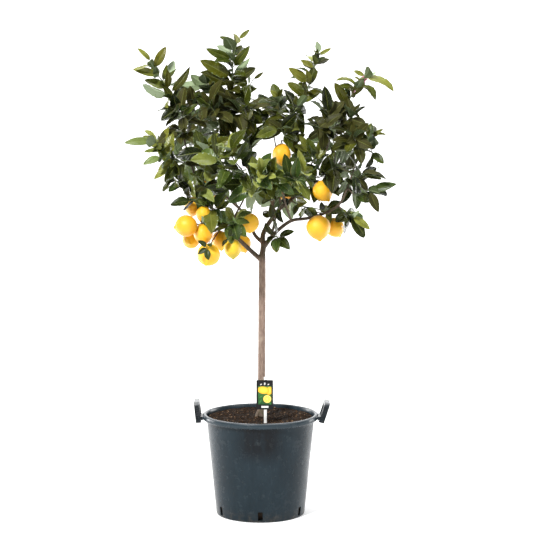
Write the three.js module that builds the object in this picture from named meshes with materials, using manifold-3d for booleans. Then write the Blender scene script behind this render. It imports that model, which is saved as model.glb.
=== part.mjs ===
// Potted lemon tree: a grafted standard in a nursery container, with ripe fruit, flower buds and a
// plant label.
// Millimetres, +Z up. The origin is the middle of the pot's base and the front faces -Y.

import * as THREE from 'three';
import { mergeVertices } from 'three/addons/utils/BufferGeometryUtils.js';
import Module from 'manifold-3d';

const wasm = await Module();
wasm.setup();

// ---------- driving dimensions ----------

const gap = 0.4; // air between pieces that touch
const endGap = 2.8; // and between a limb's end and the stem that grows on from it at a slant

const pot = {
  height: 350,
  rimRadius: 200,
  rimWidth: 13, // flat ring on top of the rim
  rimDrop: 19, // how far the rolled rim reaches down
  neckRadius: 186, // wall under the rim
  footRadius: 153.5,
  wall: 3,
  floor: 9,
  coving: 3, // height of the slant between floor and wall
  sides: 30,
};

const slot = { count: 6, width: 16, from: 8, to: 38, depth: 30 };

const handle = {
  width: 92, // along the rim
  bar: 15, // post and grip height
  depth: 18, // across the rim
  bottom: 322,
  height: 74,
  corner: 14,
  leftReach: 213, // middle of the handle's foot from the pot's axis
  rightReach: 209,
  leftLean: 6, // degrees outward
  rightLean: 18,
  bracketWidth: 70,
  bracketHeight: 12,
};

const soil = {
  edge: 338,
  crown: 341,
  rings: 2,
  unevenness: 3,
  room: 0.8, // round the trunk and the root flare
  start: 13, // height from which its side keeps clear of the wall
  over: 12, // how far a hole's cutter stands above the crown
};

const label = {
  width: 57,
  height: 101,
  thick: 1.4,
  middle: [15, -121.5, 437],
  hole: 2.9,
  holeDrop: 11, // from the card's top edge
};

const stake = { width: 10, thick: 2.4, top: 498, bottom: 215, lean: 2, peg: 2.3 };

const trunk = {
  path: [[5, 0, 190], [5, 0, 330], [4, 0, 470], [5, 0, 640], [6, 0, 800], [6, 0, 900]],
  radii: [13, 15.5, 13.2, 12.6, 12.4, 12],
  sides: 8,
};

const flare = { // a root's shoulder at the trunk's foot
  path: [[4, -2, 376], [-10, -9, 352], [-17, -14, 328]],
  top: 5.5,
  foot: 6,
  sides: 6,
};

const leafShape = {
  widthRatio: [0.38, 0.52], // drawn for each leaf
  fold: 0.2, // how far the margins rise, per half width
  wave: 0.1,
  rib: 1.9, // thickness at the midrib
  stalk: 1.3, // half thickness of the petiole
  stations: [[0.13, 0], [0.4, 0.96], [0.72, 0.8]], // place along the leaf, share of the half width
  smallStations: [[0.15, 0], [0.55, 1]],
  small: 98, // length under which a leaf has the small stations
  widest: 24, // half width
};

const fruitTop = 0.94; // share of a fruit's half length where its stalk ends
const fruitStalk = { radii: [2.8, 2.6, 5.5], straight: 9, hump: 3 };

const twig = {
  sides: 3,
  foot: 2.8,
  tip: 1.8,
  spur: 26, // woody foot of a spray that grows from a limb's side
  bare: [4, 2.5], // lengths without leaves at foot and tip
};

const placing = {
  seed: 41,
  tries: 14,
  turn: 137.5, // degrees from one leaf to the next round a stem
  turnJitter: 40,
  openLow: 34, // degrees between stem and leaf at the tip of the stem
  openHigh: 78, // and at its foot
  arch: [16, 52], // degrees that a leaf curves over its length
  lengths: [0.84, 1.14], // shares of a stem's leaf length
  own: 0.6, // how far a leaf's face keeps to its own way
  lift: 0.4, // how far it turns to the sky
  show: 1, // and away from the crown's heart
  heart: [0, 120, 1110],
  tipLift: 0.55, // how far the face of a leaf with a given tip turns to the sky
  tipTurn: 28, // degrees that it may roll either way
  ownTurn: 35, // and the other leaves
  eye: [21, -6200, 1536], // where the front is looked at from
  openDepths: [-240, -160, -80, 0, 80, 160, 240],
  before: [60, 120, 180], // distances before a fruit that shows
  enough: 45, // clearance that needs no more
  firstLeaf: 0.24, // place of the lowest leaf on its stem
  lastLeaf: 0.82, // and of the highest, where the stem's tip has a leaf of its own
};

const colours = {
  pot: 0x2c3236,
  soil: 0x3a2719,
  wood: 0x6b5544,
  card: 0x1d1d1b,
  stake: 0xeeece6,
  lemon: 0xf2b21c,
  greenLemon: 0xc9b52a,
  leaf: 0x35471c,
};

// ---------- the tree's plan ----------

// limb: name, parent, place on the parent, further points, radius at foot and tip
const limbRows = [
  ['leader', 'trunk', 1, [[10, 0, 930], [10, 4, 975], [40, 22, 1025], [70, 38, 1060], [105, 48, 1085],
    [130, 46, 1120], [155, 38, 1155], [195, 22, 1200], [225, 6, 1260], [240, 0, 1315]], 11, 3],
  ['left', 'trunk', 0.96, [[-30, -15, 915], [-70, -40, 955], [-105, -62, 985], [-115, -78, 1025],
    [-150, -92, 1050], [-170, -102, 1085], [-200, -104, 1145], [-225, -96, 1195], [-245, -80, 1260],
    [-265, -62, 1330]], 9, 2.8],
  ['centre', 'leader', 0.345, [[25, 62, 1105], [-10, 84, 1145], [-25, 95, 1180], [-30, 92, 1220]
  ], 4.2, 2.6],
  ['top', 'centre', 0.78, [[-50, 86, 1200], [-70, 70, 1240], [-85, 50, 1300], [-95, 35, 1365]], 3.8, 2.8],
  ['spike', 'leader', 0.4, [[65, 8, 1125], [80, -18, 1205], [105, -32, 1295], [130, -36, 1375]], 4.4, 2.8],
  ['right', 'leader', 0.1, [[35, -22, 960], [60, -42, 990], [105, -72, 1025], [155, -100, 1035],
    [205, -120, 1050], [255, -126, 1075], [280, -122, 1110], [300, -110, 1160], [320, -92, 1215],
    [345, -72, 1260]], 8.5, 2.6],
  ['middle', 'leader', 0.07, [[35, -12, 960], [45, -24, 1000], [55, -30, 1040], [80, -42, 1085]], 6.5, 2.8],
  ['parallel', 'leader', 0.48, [[125, 82, 1120], [150, 118, 1160], [185, 150, 1220], [210, 168, 1280]
  ], 4, 2.6],
  ['rightBack', 'parallel', 0.27, [[185, 150, 1130], [245, 206, 1165], [285, 240, 1215]], 3.6, 2.6],
  ['back', 'leader', 0.31, [[45, 110, 1080], [55, 186, 1145], [60, 240, 1215], [50, 262, 1285]], 5, 2.6],
  ['leftBack', 'leader', 0.13, [[-20, 22, 970], [-45, 70, 1025], [-100, 130, 1075], [-150, 182, 1115],
    [-195, 224, 1185], [-220, 242, 1260]], 7.5, 2.6],
  ['leftRise', 'leftBack', 0.36, [[-85, 112, 1070], [-105, 132, 1130], [-110, 142, 1200], [-115, 144, 1270]
  ], 3.6, 2.6],
  ['frontLeft', 'left', 0.31, [[-85, -128, 1045], [-55, -180, 1105], [-35, -215, 1160]], 4.4, 2.8],
  ['frontRight', 'right', 0.3, [[85, -140, 1085], [75, -190, 1140], [70, -220, 1185]], 4.4, 2.8],
];

// leafy stems, in a piece for each spray: name, then for each stem its limb (none: the spray's first stem),
// place on it, further points, leaves placed by rule, their length, and leaves with a given tip (place, tip,
// degrees of roll)
const sprayRows = [
  ['spray_left_top', [
    ['left', 1, [[-285, -72, 1405], [-315, -84, 1475], [-345, -90, 1520], [-365, -92, 1560]], 3, 86, [
      [1, -410, -104, 1605], [0.85, -315, -92, 1610], [0.7, -425, -112, 1535], [0.47, -390, -62, 1500],
      [0.4, -390, -150, 1485], [0.46, -310, -110, 1535], [0.42, -235, -80, 1545], [0.6, -290, -50, 1565],
      [0.52, -245, -30, 1510], [0.3, -325, -130, 1445]]],
    ['', 0.12, [[-260, -104, 1380], [-280, -122, 1405]], 2, 84, [[1, -330, -150, 1365],
      [0.8, -300, -150, 1360], [0.4, -210, -100, 1420], [0.9, -240, -150, 1410]]],
  ]],
  ['spray_left_mid', [
    ['left', 0.89, [[-295, -96, 1250], [-330, -104, 1270],
      [-350, -108, 1295]], 3, 88, [[1, -455, -128, 1290, 24], [0.95, -390, -90, 1330, 24],
      [0.95, -275, -84, 1315], [0.8, -315, -130, 1235], [0.6, -390, -120, 1260]]],
  ]],
  ['spray_left_rise', [
    ['left', 0.95, [[-230, -44, 1335], [-220, -24, 1385], [-235, -16, 1420]], 5, 86, [[1, -280, -6, 1480],
      [0.8, -245, -60, 1395]]],
    ['', 0.3, [[-255, -92, 1320], [-270, -104, 1335]], 2, 90, [[1, -340, -128, 1290],
      [0.7, -195, -120, 1275], [0.9, -315, -70, 1340]]],
  ]],
  ['spray_left_low', [
    ['left', 0.83, [[-260, -128, 1225], [-295, -150, 1240], [-325, -158, 1245]], 3, 80, [
      [1, -390, -168, 1220], [0.5, -355, -150, 1170], [0.45, -340, -170, 1200], [0.2, -280, -146, 1180]]],
  ]],
  ['spray_left_under', [
    ['left', 0.74, [[-240, -128, 1145], [-270, -146, 1160],
      [-290, -154, 1170]], 1, 84, [[1, -325, -170, 1130], [0.9, -310, -150, 1190],
      [0.5, -255, -170, 1130], [0.6, -270, -120, 1200], [0.8, -320, -120, 1160]]],
  ]],
  ['spray_left_inner', [
    ['left', 0.78, [[-190, -140, 1205], [-175, -164, 1240], [-180, -176, 1270]], 6, 92, [
      [0.9, -280, -190, 1245], [1, -95, -190, 1310]]],
  ]],
  ['spray_top_left', [
    ['top', 0.88, [[-125, 60, 1415], [-160, 72, 1455], [-185, 78, 1485]], 6, 96, [[1, -290, 80, 1475],
      [0.9, -240, 70, 1515]]],
    ['', 0.25, [[-150, -20, 1390], [-175, -52, 1420]], 5, 98, []],
  ]],
  ['spray_top_spike', [
    ['top', 1, [[-100, 32, 1450], [-95, 26, 1525], [-90, 22, 1585], [-75, 20, 1635]], 7, 84, [
      [1, -35, 16, 1670], [0.92, -140, 16, 1645], [0.82, -60, 36, 1615], [0.67, -185, -6, 1605],
      [0.56, -35, 0, 1615], [0.43, -205, -10, 1565], [0.47, -35, 56, 1575], [0.36, -15, 46, 1540],
      [0.34, -205, -20, 1525], [0.2, -10, 10, 1470], [0.75, -150, 40, 1615],
      [0.1, -130, -12, 1440], [0.26, -120, -24, 1500]]],
    ['', 0.12, [[-70, 66, 1415], [-45, 84, 1465], [-25, 92, 1500]], 4, 84, [[1, 10, 96, 1525]]],
    ['', 0.06, [[-70, -6, 1390], [-40, -40, 1415]], 5, 88, [[0.3, -55, -50, 1315]]],
  ]],
  ['spray_centre', [
    ['centre', 1, [[-35, 80, 1255], [-40, 70, 1295]], 7, 78, []],
  ]],
  ['spray_left_crown', [
    ['leftRise', 1, [[-135, 150, 1315], [-150, 156, 1360]], 8, 94, []],
  ]],
  ['spray_middle_left', [
    ['spike', 0.72, [[70, 0, 1345], [45, 16, 1375], [20, 24, 1405]], 4, 86, [[1, -10, 30, 1440],
      [0.9, 0, 0, 1385], [0.7, -60, 10, 1360]]],
    ['', 0.3, [[65, -60, 1400], [60, -76, 1440]], 4, 84, [[1, 35, -86, 1465], [0.9, 75, -90, 1470]]],
    ['', 0.2, [[105, -76, 1380], [125, -86, 1410]], 5, 84, [[1, 120, -92, 1450], [0.8, 85, -100, 1420],
      [0.5, 145, -106, 1355]]],
  ]],
  ['spray_middle_spike', [
    ['spike', 1, [[150, -38, 1440], [170, -38, 1500], [185, -35, 1550], [195, -33, 1585]], 3, 80, [
      [1, 190, -36, 1630], [0.97, 240, -26, 1605], [0.68, 135, -42, 1565], [0.8, 220, -22, 1575],
      [0.44, 95, -44, 1540], [0.42, 155, -66, 1535], [0.45, 195, -14, 1530], [0.25, 90, -60, 1490],
      [0.33, 130, 0, 1490], [0.17, 205, -50, 1460], [0.72, 175, -60, 1585]]],
  ]],
  ['spray_middle_arch', [
    ['spike', 0.62, [[85, -86, 1310], [65, -116, 1340]], 0, 88, [[1, -15, -140, 1310, -20],
      [0.85, -5, -100, 1335, 20], [0.6, 125, -140, 1295], [0.4, 135, -100, 1330], [0.7, 25, -110, 1365],
      [0.55, 115, -104, 1370]]],
  ]],
  ['spray_flower', [
    ['leader', 1, [[270, -12, 1375], [300, -22, 1430], [325, -27, 1470],
      [355, -29, 1510]], 3, 84, [[0.97, 450, -48, 1460, -24], [0.82, 390, -32, 1430, -10],
      [0.76, 255, -24, 1495, 24], [1, 315, -30, 1530], [0.98, 395, -14, 1530],
      [0.42, 250, -44, 1490, -20], [0.36, 300, 6, 1480]]],
    ['', 0.12, [[290, -48, 1360], [315, -64, 1380]], 4, 88, [[1, 355, -76, 1410], [0.7, 355, -96, 1350]]],
  ]],
  ['spray_right_tall', [
    ['leader', 0.93, [[235, -50, 1345], [230, -72, 1385]], 4, 96, [[1, 215, -84, 1480],
      [0.9, 200, -110, 1400]]],
    ['', 0.42, [[208, -86, 1335], [185, -98, 1350]], 2, 80, [[1, 155, -104, 1370], [0.8, 195, -110, 1300],
      [0.5, 160, -70, 1300]]],
  ]],
  ['spray_right_top', [
    ['right', 1, [[360, -66, 1290], [375, -62, 1315]], 3, 80, [[1, 425, -62, 1315, -24],
      [0.9, 400, -90, 1320], [0.7, 375, -40, 1355]]],
    ['', 0.2, [[320, -104, 1290], [310, -120, 1315]], 4, 104, [[0.7, 285, -150, 1260]]],
    ['', 0.1, [[370, -86, 1260], [385, -92, 1250]], 2, 70, [[1, 410, -100, 1230]]],
  ]],
  ['spray_right_side', [
    ['right', 0.76, [[320, -140, 1115], [345, -150, 1130], [370, -154, 1135]], 3, 88, [[1, 455, -160, 1155],
      [0.9, 395, -156, 1060], [0.7, 350, -150, 1090]]],
    ['', 0.42, [[322, -150, 1170], [335, -156, 1190]], 3, 92, [[1, 405, -160, 1170], [0.6, 360, -130, 1130]
    ]],
  ]],
  ['spray_right_low', [
    ['right', 0.62, [[285, -158, 1060], [305, -170, 1050]], 2, 80, [[1, 365, -184, 1005],
      [0.9, 350, -178, 980], [0.5, 250, -196, 1030], [0.6, 275, -150, 1070], [0.75, 280, -196, 1020]]],
  ]],
  ['spray_over_fruit', [
    ['leader', 0.74, [[200, -34, 1170], [225, -60, 1190],
      [255, -72, 1210]], 7, 90, [[0.5, 265, -120, 1110], [0.2, 180, -90, 1085]]],
    ['', 0.45, [[190, -80, 1220], [165, -90, 1260]], 5, 88, [[1, 115, -100, 1280]]],
  ]],
  ['spray_right_inner', [
    ['leader', 0.5, [[140, -2, 1070], [180, -34, 1065], [220, -58, 1060],
      [250, -70, 1070]], 1, 66, [[0.14, 160, -46, 1085], [0.1, 115, -30, 1040], [0.34, 190, -84, 1030],
      [0.7, 205, -80, 1090], [1, 275, -60, 1090], [0.85, 235, -100, 1015], [0.95, 290, -70, 1050]]],
  ]],
  ['spray_low_pair', [
    ['right', 0.16, [[50, -58, 970], [60, -66, 970]], 0, 80, [[1, 115, -76, 990], [0.9, 55, -118, 925],
      [0.8, 100, -112, 930], [0.5, 25, -104, 950]]],
  ]],
  ['spray_fruit_left', [
    ['left', 0.47, [[-155, -128, 1070], [-170, -146, 1075]], 2, 84, [[0.8, -185, -178, 1010],
      [0.5, -175, -190, 980], [1, -205, -180, 1105], [0.6, -130, -176, 1025]]],
  ]],
  ['spray_fruit_mid', [
    ['left', 0.34, [[-100, -112, 1020], [-85, -132, 1035]], 2, 82, [[1, -25, -150, 1060],
      [0.9, -35, -170, 1025], [0.5, -45, -190, 980], [0.4, -95, -186, 955]]],
  ]],
  ['spray_front_left', [
    ['frontLeft', 1, [[-55, -244, 1200], [-85, -262, 1240], [-100, -268, 1270]], 7, 92, []],
    ['', 0.3, [[-110, -262, 1215], [-145, -280, 1255]], 5, 90, []],
  ]],
  ['spray_front_mid', [
    ['frontLeft', 0.86, [[-15, -250, 1175], [10, -272, 1195]], 8, 88, []],
  ]],
  ['spray_front_right', [
    ['frontRight', 1, [[40, -248, 1175], [5, -268, 1200]], 6, 84, [[1, -40, -286, 1230]]],
  ]],
  ['spray_front_fruit', [
    ['frontRight', 0.85, [[115, -246, 1175], [145, -266, 1195]], 5, 84, [[0.3, 80, -236, 1260],
      [0.5, 125, -282, 1250], [1, 125, -262, 1275]]],
  ]],
  ['spray_back_top', [
    ['back', 1, [[40, 276, 1350], [25, 280, 1400]], 8, 88, []],
  ]],
  ['spray_back_mid', [
    ['back', 0.62, [[80, 290, 1120], [75, 330, 1075]], 8, 90, []],
  ]],
  ['spray_back_low', [
    ['back', 0.5, [[5, 270, 1130], [-25, 316, 1105]], 8, 88, []],
  ]],
  ['spray_back_left_top', [
    ['leftBack', 1, [[-245, 270, 1320], [-260, 280, 1365]], 7, 92, []],
    ['', 0.3, [[-185, 256, 1350], [-190, 258, 1400]], 5, 88, []],
  ]],
  ['spray_back_left_out', [
    ['leftBack', 0.84, [[-205, 310, 1240], [-220, 340, 1290]], 7, 90, []],
    ['', 0.3, [[-255, 320, 1200], [-290, 350, 1210]], 4, 86, []],
  ]],
  ['spray_back_left_low', [
    ['leftBack', 0.7, [[-165, 260, 1125], [-195, 306, 1135]], 8, 90, []],
  ]],
  ['spray_right_back_top', [
    ['rightBack', 1, [[300, 262, 1265], [310, 268, 1315]], 7, 90, []],
    ['', 0.3, [[265, 300, 1270], [250, 326, 1305]], 4, 86, []],
  ]],
  ['spray_right_back_low', [
    ['rightBack', 0.8, [[315, 276, 1170], [330, 310, 1120]], 8, 88, []],
  ]],
  ['spray_parallel', [
    ['parallel', 1, [[225, 182, 1335], [235, 190, 1390]], 8, 90, []],
  ]],
  ['spray_left_cover', [
    ['left', 0.66, [[-205, -142, 1105], [-230, -158, 1100]], 1, 80, [[1, -300, -172, 1085],
      [0.5, -185, -170, 1080], [0.6, -210, -170, 1150]]],
    ['', 0.6, [[-195, -176, 1135], [-175, -188, 1165]], 5, 86, []],
  ]],
  ['spray_core', [
    ['middle', 1, [[75, -62, 1110], [50, -96, 1135], [15, -120, 1155]], 7, 86, [[0.2, 90, -90, 1075],
      [0.4, 5, -130, 1085]]],
    ['', 0.12, [[55, -66, 1060], [35, -74, 1030]], 0, 70, [[1, 35, -92, 1085], [0.6, 15, -84, 1050]]],
  ]],
  ['spray_inner_mid', [
    ['leader', 0.36, [[90, 110, 1130], [70, 150, 1180]], 6, 84, []],
  ]],
];

// fruit: name, limb it hangs from, place on it, middle, way from stalk to tip, radius, half length
const fruitRows = [
  ['lemon_1', 'spike', 0.7, [72, -84, 1250], [0, -0.1, -1], 31, 40],
  ['lemon_2', 'leader', 0.78, [212, -72, 1125], [0.5, -0.2, -0.8], 33, 41],
  ['lemon_3', 'right', 0.5, [195, -146, 1007], [0.1, -0.15, -1], 39, 46],
  ['lemon_4', 'right', 0.57, [252, -76, 1002], [0.5, 0.1, -0.8], 31, 38],
  ['lemon_5', 'left', 0.42, [-247, -196, 1018], [-0.95, -0.2, -0.12], 35, 41],
  ['lemon_6', 'left', 0.66, [-224, -106, 1076], [-0.2, 0.2, -1], 30, 37],
  ['lemon_7', 'left', 0.52, [-190, -152, 1054], [-0.3, -0.2, -1], 24, 30],
  ['lemon_8', 'left', 0.49, [-232, -124, 964], [-0.1, -0.9, -0.3], 28, 34],
  ['lemon_9', 'left', 0.34, [-190, -170, 988], [0.1, -0.1, -1], 31, 38],
  ['lemon_10', 'left', 0.38, [-172, -204, 922], [-0.2, -0.55, -0.8], 38, 41],
  ['lemon_11', 'left', 0.33, [-134, -110, 961], [0.1, -0.3, -0.9], 29, 36],
  ['lemon_12', 'left', 0.28, [-92, -162, 938], [0.05, -0.15, -1], 28, 36],
  ['lemon_13', 'leftBack', 0.36, [-38, -62, 1016], [0.1, -0.5, -0.85], 33, 38],
  ['lemon_14', 'left', 0.2, [-60, 4, 940], [0.3, 0, -0.95], 27, 34],
  ['lemon_15', 'left', 0.72, [-178, -36, 1126], [0.2, 0.1, -1], 30, 38],
  ['lemon_16', 'leader', 0.66, [84, 46, 1118], [0, 0.1, -1], 29, 37],
];

const greenest = ['lemon_12'];
const shown = [
  'lemon_1', 'lemon_2', 'lemon_3', 'lemon_4', 'lemon_5', 'lemon_8', 'lemon_9', 'lemon_10', 'lemon_12',
  'lemon_13',
];

// open places in the crown, seen from the front: middle (left to right, height) and half width
const openRows = [
  [10, 1480, 25], [170, 1405, 24], [160, 1330, 19], [10, 1265, 20], [325, 1075, 18], [-10, 1065, 18],
  [-365, 1215, 16], [-85, 1220, 16], [-340, 1425, 13], [-395, 1560, 13], [-270, 1120, 13],
  [295, 1075, 12], [380, 1155, 12], [-270, 1440, 12], [-320, 1370, 12], [-320, 1570, 12],
  [-415, 1270, 12], [375, 1205, 12], [350, 1440, 22], [65, 1295, 11], [135, 1245, 11],
  [410, 1275, 26], [350, 1450, 22], [345, 1380, 10], [-355, 1205, 12],
];

// flower buds: spray, stem in it, place on the stem, middle, half length
const budRows = [
  ['spray_flower', 0, 0.97, [364, -36, 1516], 11],
  ['spray_flower', 0, 0.9, [384, -26, 1512], 9],
  ['spray_flower', 0, 0.6, [318, -40, 1462], 8],
];

// ---------- curves and turning ----------

const up = new THREE.Vector3(0, 0, 1);
const front = new THREE.Vector3(0, -1, 0);
const toVector = (place) => new THREE.Vector3(...place);
const mix = (a, b, share) => a + (b - a) * share;
const radians = THREE.MathUtils.degToRad;

function curveThrough(vectors) {
  return new THREE.CatmullRomCurve3(vectors, false, 'catmullrom');
}

// Repeatable draws between 0 and 1.
function drawsFrom(seed) {
  let state = seed;
  return () => {
    state = (state + 0x6d2b79f5) | 0;
    let t = Math.imul(state ^ (state >>> 15), 1 | state);
    t = (t + Math.imul(t ^ (t >>> 7), 61 | t)) ^ t;
    return ((t ^ (t >>> 14)) >>> 0) / 4294967296;
  };
}

// A unit vector square to the given one, as level as it can be.
function sideOf(direction) {
  const side = new THREE.Vector3().crossVectors(direction, up);
  if (side.length() < 0.05) side.set(1, 0, 0);
  return side.normalize();
}

// The part of a vector that is square to the given unit vector, made a unit vector.
function squareTo(vector, direction) {
  return vector.clone().addScaledVector(direction, -vector.dot(direction)).normalize();
}

// ---------- solids ----------

function signedVolume(places, faces) {
  let sum = 0;
  const [a, b, c] = [new THREE.Vector3(), new THREE.Vector3(), new THREE.Vector3()];
  for (let i = 0; i < faces.length; i += 3) {
    a.fromArray(places, faces[i] * 3);
    b.fromArray(places, faces[i + 1] * 3);
    c.fromArray(places, faces[i + 2] * 3);
    sum += a.dot(b.cross(c));
  }
  return sum / 6;
}

function solidFrom(geometry) {
  const bare = geometry.clone();
  bare.deleteAttribute('normal');
  bare.deleteAttribute('uv');
  const merged = mergeVertices(bare, 1e-3);
  const places = merged.getAttribute('position').array;
  const faces = Uint32Array.from(merged.index.array);
  if (signedVolume(places, faces) < 0) {
    for (let i = 0; i < faces.length; i += 3) [faces[i], faces[i + 1]] = [faces[i + 1], faces[i]];
  }
  const mesh = new wasm.Mesh({ numProp: 3, vertProperties: Float32Array.from(places), triVerts: faces });
  return new wasm.Manifold(mesh);
}

function geometryFrom(solid) {
  const mesh = solid.getMesh();
  const geometry = new THREE.BufferGeometry();
  geometry.setAttribute('position', new THREE.Float32BufferAttribute(mesh.vertProperties, 3));
  geometry.setIndex([...mesh.triVerts]);
  return geometry;
}

const joined = (solids) => solids.reduce((whole, next) => whole.add(next));

function box(width, depth, height, x, y, z) {
  return new THREE.BoxGeometry(width, depth, height).translate(x, y, z);
}

// A turned shape round the Z axis from radius and height pairs.
function turned(profile, sides) {
  const points = profile.map(([radius, height]) => new THREE.Vector2(radius, height));
  return new THREE.LatheGeometry(points, sides).rotateX(Math.PI / 2);
}

// A round bar bent along a stretch of a curve, its radius given by the share of the stretch.
function bentBar(curve, from, to, radiusAt, sides, steps) {
  const bar = new THREE.CylinderGeometry(1, 1, 1, sides, steps);
  const place = bar.getAttribute('position');
  let side = sideOf(curve.getTangent(from));
  const rings = [];
  for (let i = 0; i <= steps; i += 1) {
    const at = mix(from, to, i / steps);
    const tangent = curve.getTangent(at);
    side = squareTo(side, tangent);
    const other = new THREE.Vector3().crossVectors(side, tangent);
    rings.push({ middle: curve.getPoint(at), side, other, radius: radiusAt(i / steps) });
  }
  for (let i = 0; i < place.count; i += 1) {
    const ring = rings[Math.round((place.getY(i) + 0.5) * steps)];
    const point = ring.middle.clone()
      .addScaledVector(ring.side, place.getX(i) * ring.radius)
      .addScaledVector(ring.other, place.getZ(i) * ring.radius);
    place.setXYZ(i, point.x, point.y, point.z);
  }
  return bar;
}

// A branch is a curve that is drawn with a few straight stretches, from a place on it to its end.
function branchOf(curve, from, steps, more) {
  const bends = Array.from({ length: steps + 1 }, (_, i) => curve.getPoint(mix(from, 1, i / steps)));
  return { curve, from, steps, bends, ...more };
}

// A place on a branch's straight stretches, so that what grows there is rooted in the wood.
function pointOn({ from, steps, bends }, at) {
  const along = THREE.MathUtils.clamp((at - from) / (1 - from), 0, 1) * steps;
  const low = Math.min(Math.floor(along), steps - 1);
  return bends[low].clone().lerp(bends[low + 1], along - low);
}

const evenTaper = (foot, tip) => (share) => mix(foot, tip, share ** 0.7);

// ---------- pot ----------

function potShell() {
  const { height, rimRadius, rimWidth, rimDrop, neckRadius, footRadius, wall, floor } = pot;
  const lipInside = rimRadius - rimWidth;
  return turned([
    [0, 0], [footRadius - 4, 0], [footRadius, 5], [neckRadius, height - rimDrop - 3],
    [rimRadius - 4, height - rimDrop], [rimRadius, height - rimDrop + 5], [rimRadius, height - 5],
    [rimRadius - 4, height], [lipInside, height], [footRadius - wall, floor + pot.coving],
    [footRadius - wall - 4, floor], [0, floor],
  ], pot.sides);
}

function slotCutters() {
  const tall = slot.to - slot.from;
  return Array.from({ length: slot.count }, (_, i) => box(
    slot.depth, slot.width, tall, pot.footRadius, 0, slot.from + tall / 2,
  ).rotateZ(radians(-90 + i * 360 / slot.count)));
}

function roundedOutline(path, width, height, corner) {
  const [x, y] = [width / 2, height / 2];
  path.moveTo(x - corner, -y);
  path.absarc(x - corner, corner - y, corner, -Math.PI / 2, 0, false);
  path.absarc(x - corner, y - corner, corner, 0, Math.PI / 2, false);
  path.absarc(corner - x, y - corner, corner, Math.PI / 2, Math.PI, false);
  path.absarc(corner - x, corner - y, corner, Math.PI, Math.PI * 1.5, false);
  return path;
}

// A loop that stands on the rim at +X, for a hand to go through, with its bracket.
function handleAt(reach, lean) {
  const outline = roundedOutline(new THREE.Shape(), handle.width, handle.height, handle.corner);
  const inner = roundedOutline(
    new THREE.Path(), handle.width - 2 * handle.bar, handle.height - 2 * handle.bar, handle.corner / 2,
  );
  outline.holes.push(inner);
  const loop = new THREE.ExtrudeGeometry(outline, {
    depth: handle.depth, bevelEnabled: false, curveSegments: 2,
  });
  loop.translate(0, handle.height / 2, -handle.depth / 2);
  loop.rotateX(Math.PI / 2).rotateZ(Math.PI / 2);
  loop.rotateY(radians(lean)).translate(reach, 0, handle.bottom);
  const reachIn = pot.rimRadius - 6;
  const bracket = box(
    reach - reachIn, handle.bracketWidth, handle.bracketHeight,
    (reach + reachIn) / 2, 0, pot.height - pot.rimDrop + handle.bracketHeight / 2 + 1,
  );
  return solidFrom(loop).add(solidFrom(bracket));
}

function potSolid() {
  const left = handleAt(handle.leftReach, handle.leftLean).rotate([0, 0, 180]);
  const right = handleAt(handle.rightReach, handle.rightLean);
  const cutters = slotCutters().map(solidFrom);
  return joined([solidFrom(potShell()), left, right]).subtract(joined(cutters));
}

// ---------- soil ----------

function soilSolid() {
  const wallLean = (pot.neckRadius - pot.footRadius) / (pot.height - pot.rimDrop - soil.start);
  const radiusAt = (z) => pot.footRadius - pot.wall - 2 * gap + (z - pot.floor - pot.coving) * wallLean;
  const low = pot.floor + gap;
  const bend = low + 8;
  const profile = [
    [0, low], [radiusAt(low) - 7, low], [radiusAt(bend), bend], [radiusAt(soil.edge), soil.edge],
  ];
  for (let i = 1; i < soil.rings; i += 1) {
    const share = i / soil.rings;
    profile.push([radiusAt(soil.edge) * (1 - share), mix(soil.edge, soil.crown, share)]);
  }
  profile.push([0, soil.crown]);
  const body = turned(profile, pot.sides);
  const place = body.getAttribute('position');
  for (let i = 0; i < place.count; i += 1) {
    const [x, y, z] = [place.getX(i), place.getY(i), place.getZ(i)];
    const inside = z > soil.edge && Math.hypot(x, y) > 1;
    if (inside) place.setZ(i, z + soil.unevenness * Math.sin(x / 23 + 1) * Math.cos(y / 31));
  }
  const holes = [
    trunkBar(lengthened(trunk.path), trunk.radii.map((radius) => radius + soil.room)),
    flareBar(lengthened(flare.path), soil.room),
    box(stake.width + 2 * gap, stake.thick + 2 * gap, soil.crown - stake.bottom + soil.over, ...stakeFoot()),
  ];
  return solidFrom(body).subtract(joined(holes.map(solidFrom)));
}

// The same path with its lowest end a little lower, for the hole that it stands in.
function lengthened(path) {
  const low = path.reduce((least, place) => (place[2] < least[2] ? place : least));
  return path.map((place) => (place === low ? [place[0], place[1], place[2] - 2 * gap] : place));
}

// ---------- label ----------

function stakeFoot() {
  const holeHeight = soil.crown - stake.bottom + soil.over;
  return [label.middle[0] + stake.lean, stakeDepth(), stake.bottom - 2 * gap + holeHeight / 2];
}

const stakeDepth = () => label.middle[1] + label.thick / 2 + gap + stake.thick / 2;

function labelCard() {
  const outline = roundedOutline(new THREE.Shape(), label.width, label.height, 2);
  const card = new THREE.ExtrudeGeometry(outline, {
    depth: label.thick, bevelEnabled: false, curveSegments: 2,
  });
  card.rotateX(Math.PI / 2).translate(0, label.thick / 2, 0);
  const hole = new THREE.CylinderGeometry(label.hole, label.hole, 3 * label.thick, 8);
  hole.translate(0, 0, label.height / 2 - label.holeDrop);
  return solidFrom(card).subtract(solidFrom(hole)).translate(label.middle);
}

function labelStake() {
  const tall = stake.top - stake.bottom;
  const strip = box(
    stake.width, stake.thick, tall, label.middle[0] + stake.lean, stakeDepth(), stake.bottom + tall / 2,
  );
  const long = label.thick + gap + stake.thick + 2;
  const peg = new THREE.CylinderGeometry(stake.peg, stake.peg, long, 8);
  const pegHeight = label.middle[2] + label.height / 2 - label.holeDrop;
  peg.translate(label.middle[0], stakeDepth() - long / 2 + stake.thick / 2 - 0.2, pegHeight);
  return solidFrom(strip).add(solidFrom(peg));
}

// ---------- wood ----------

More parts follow.
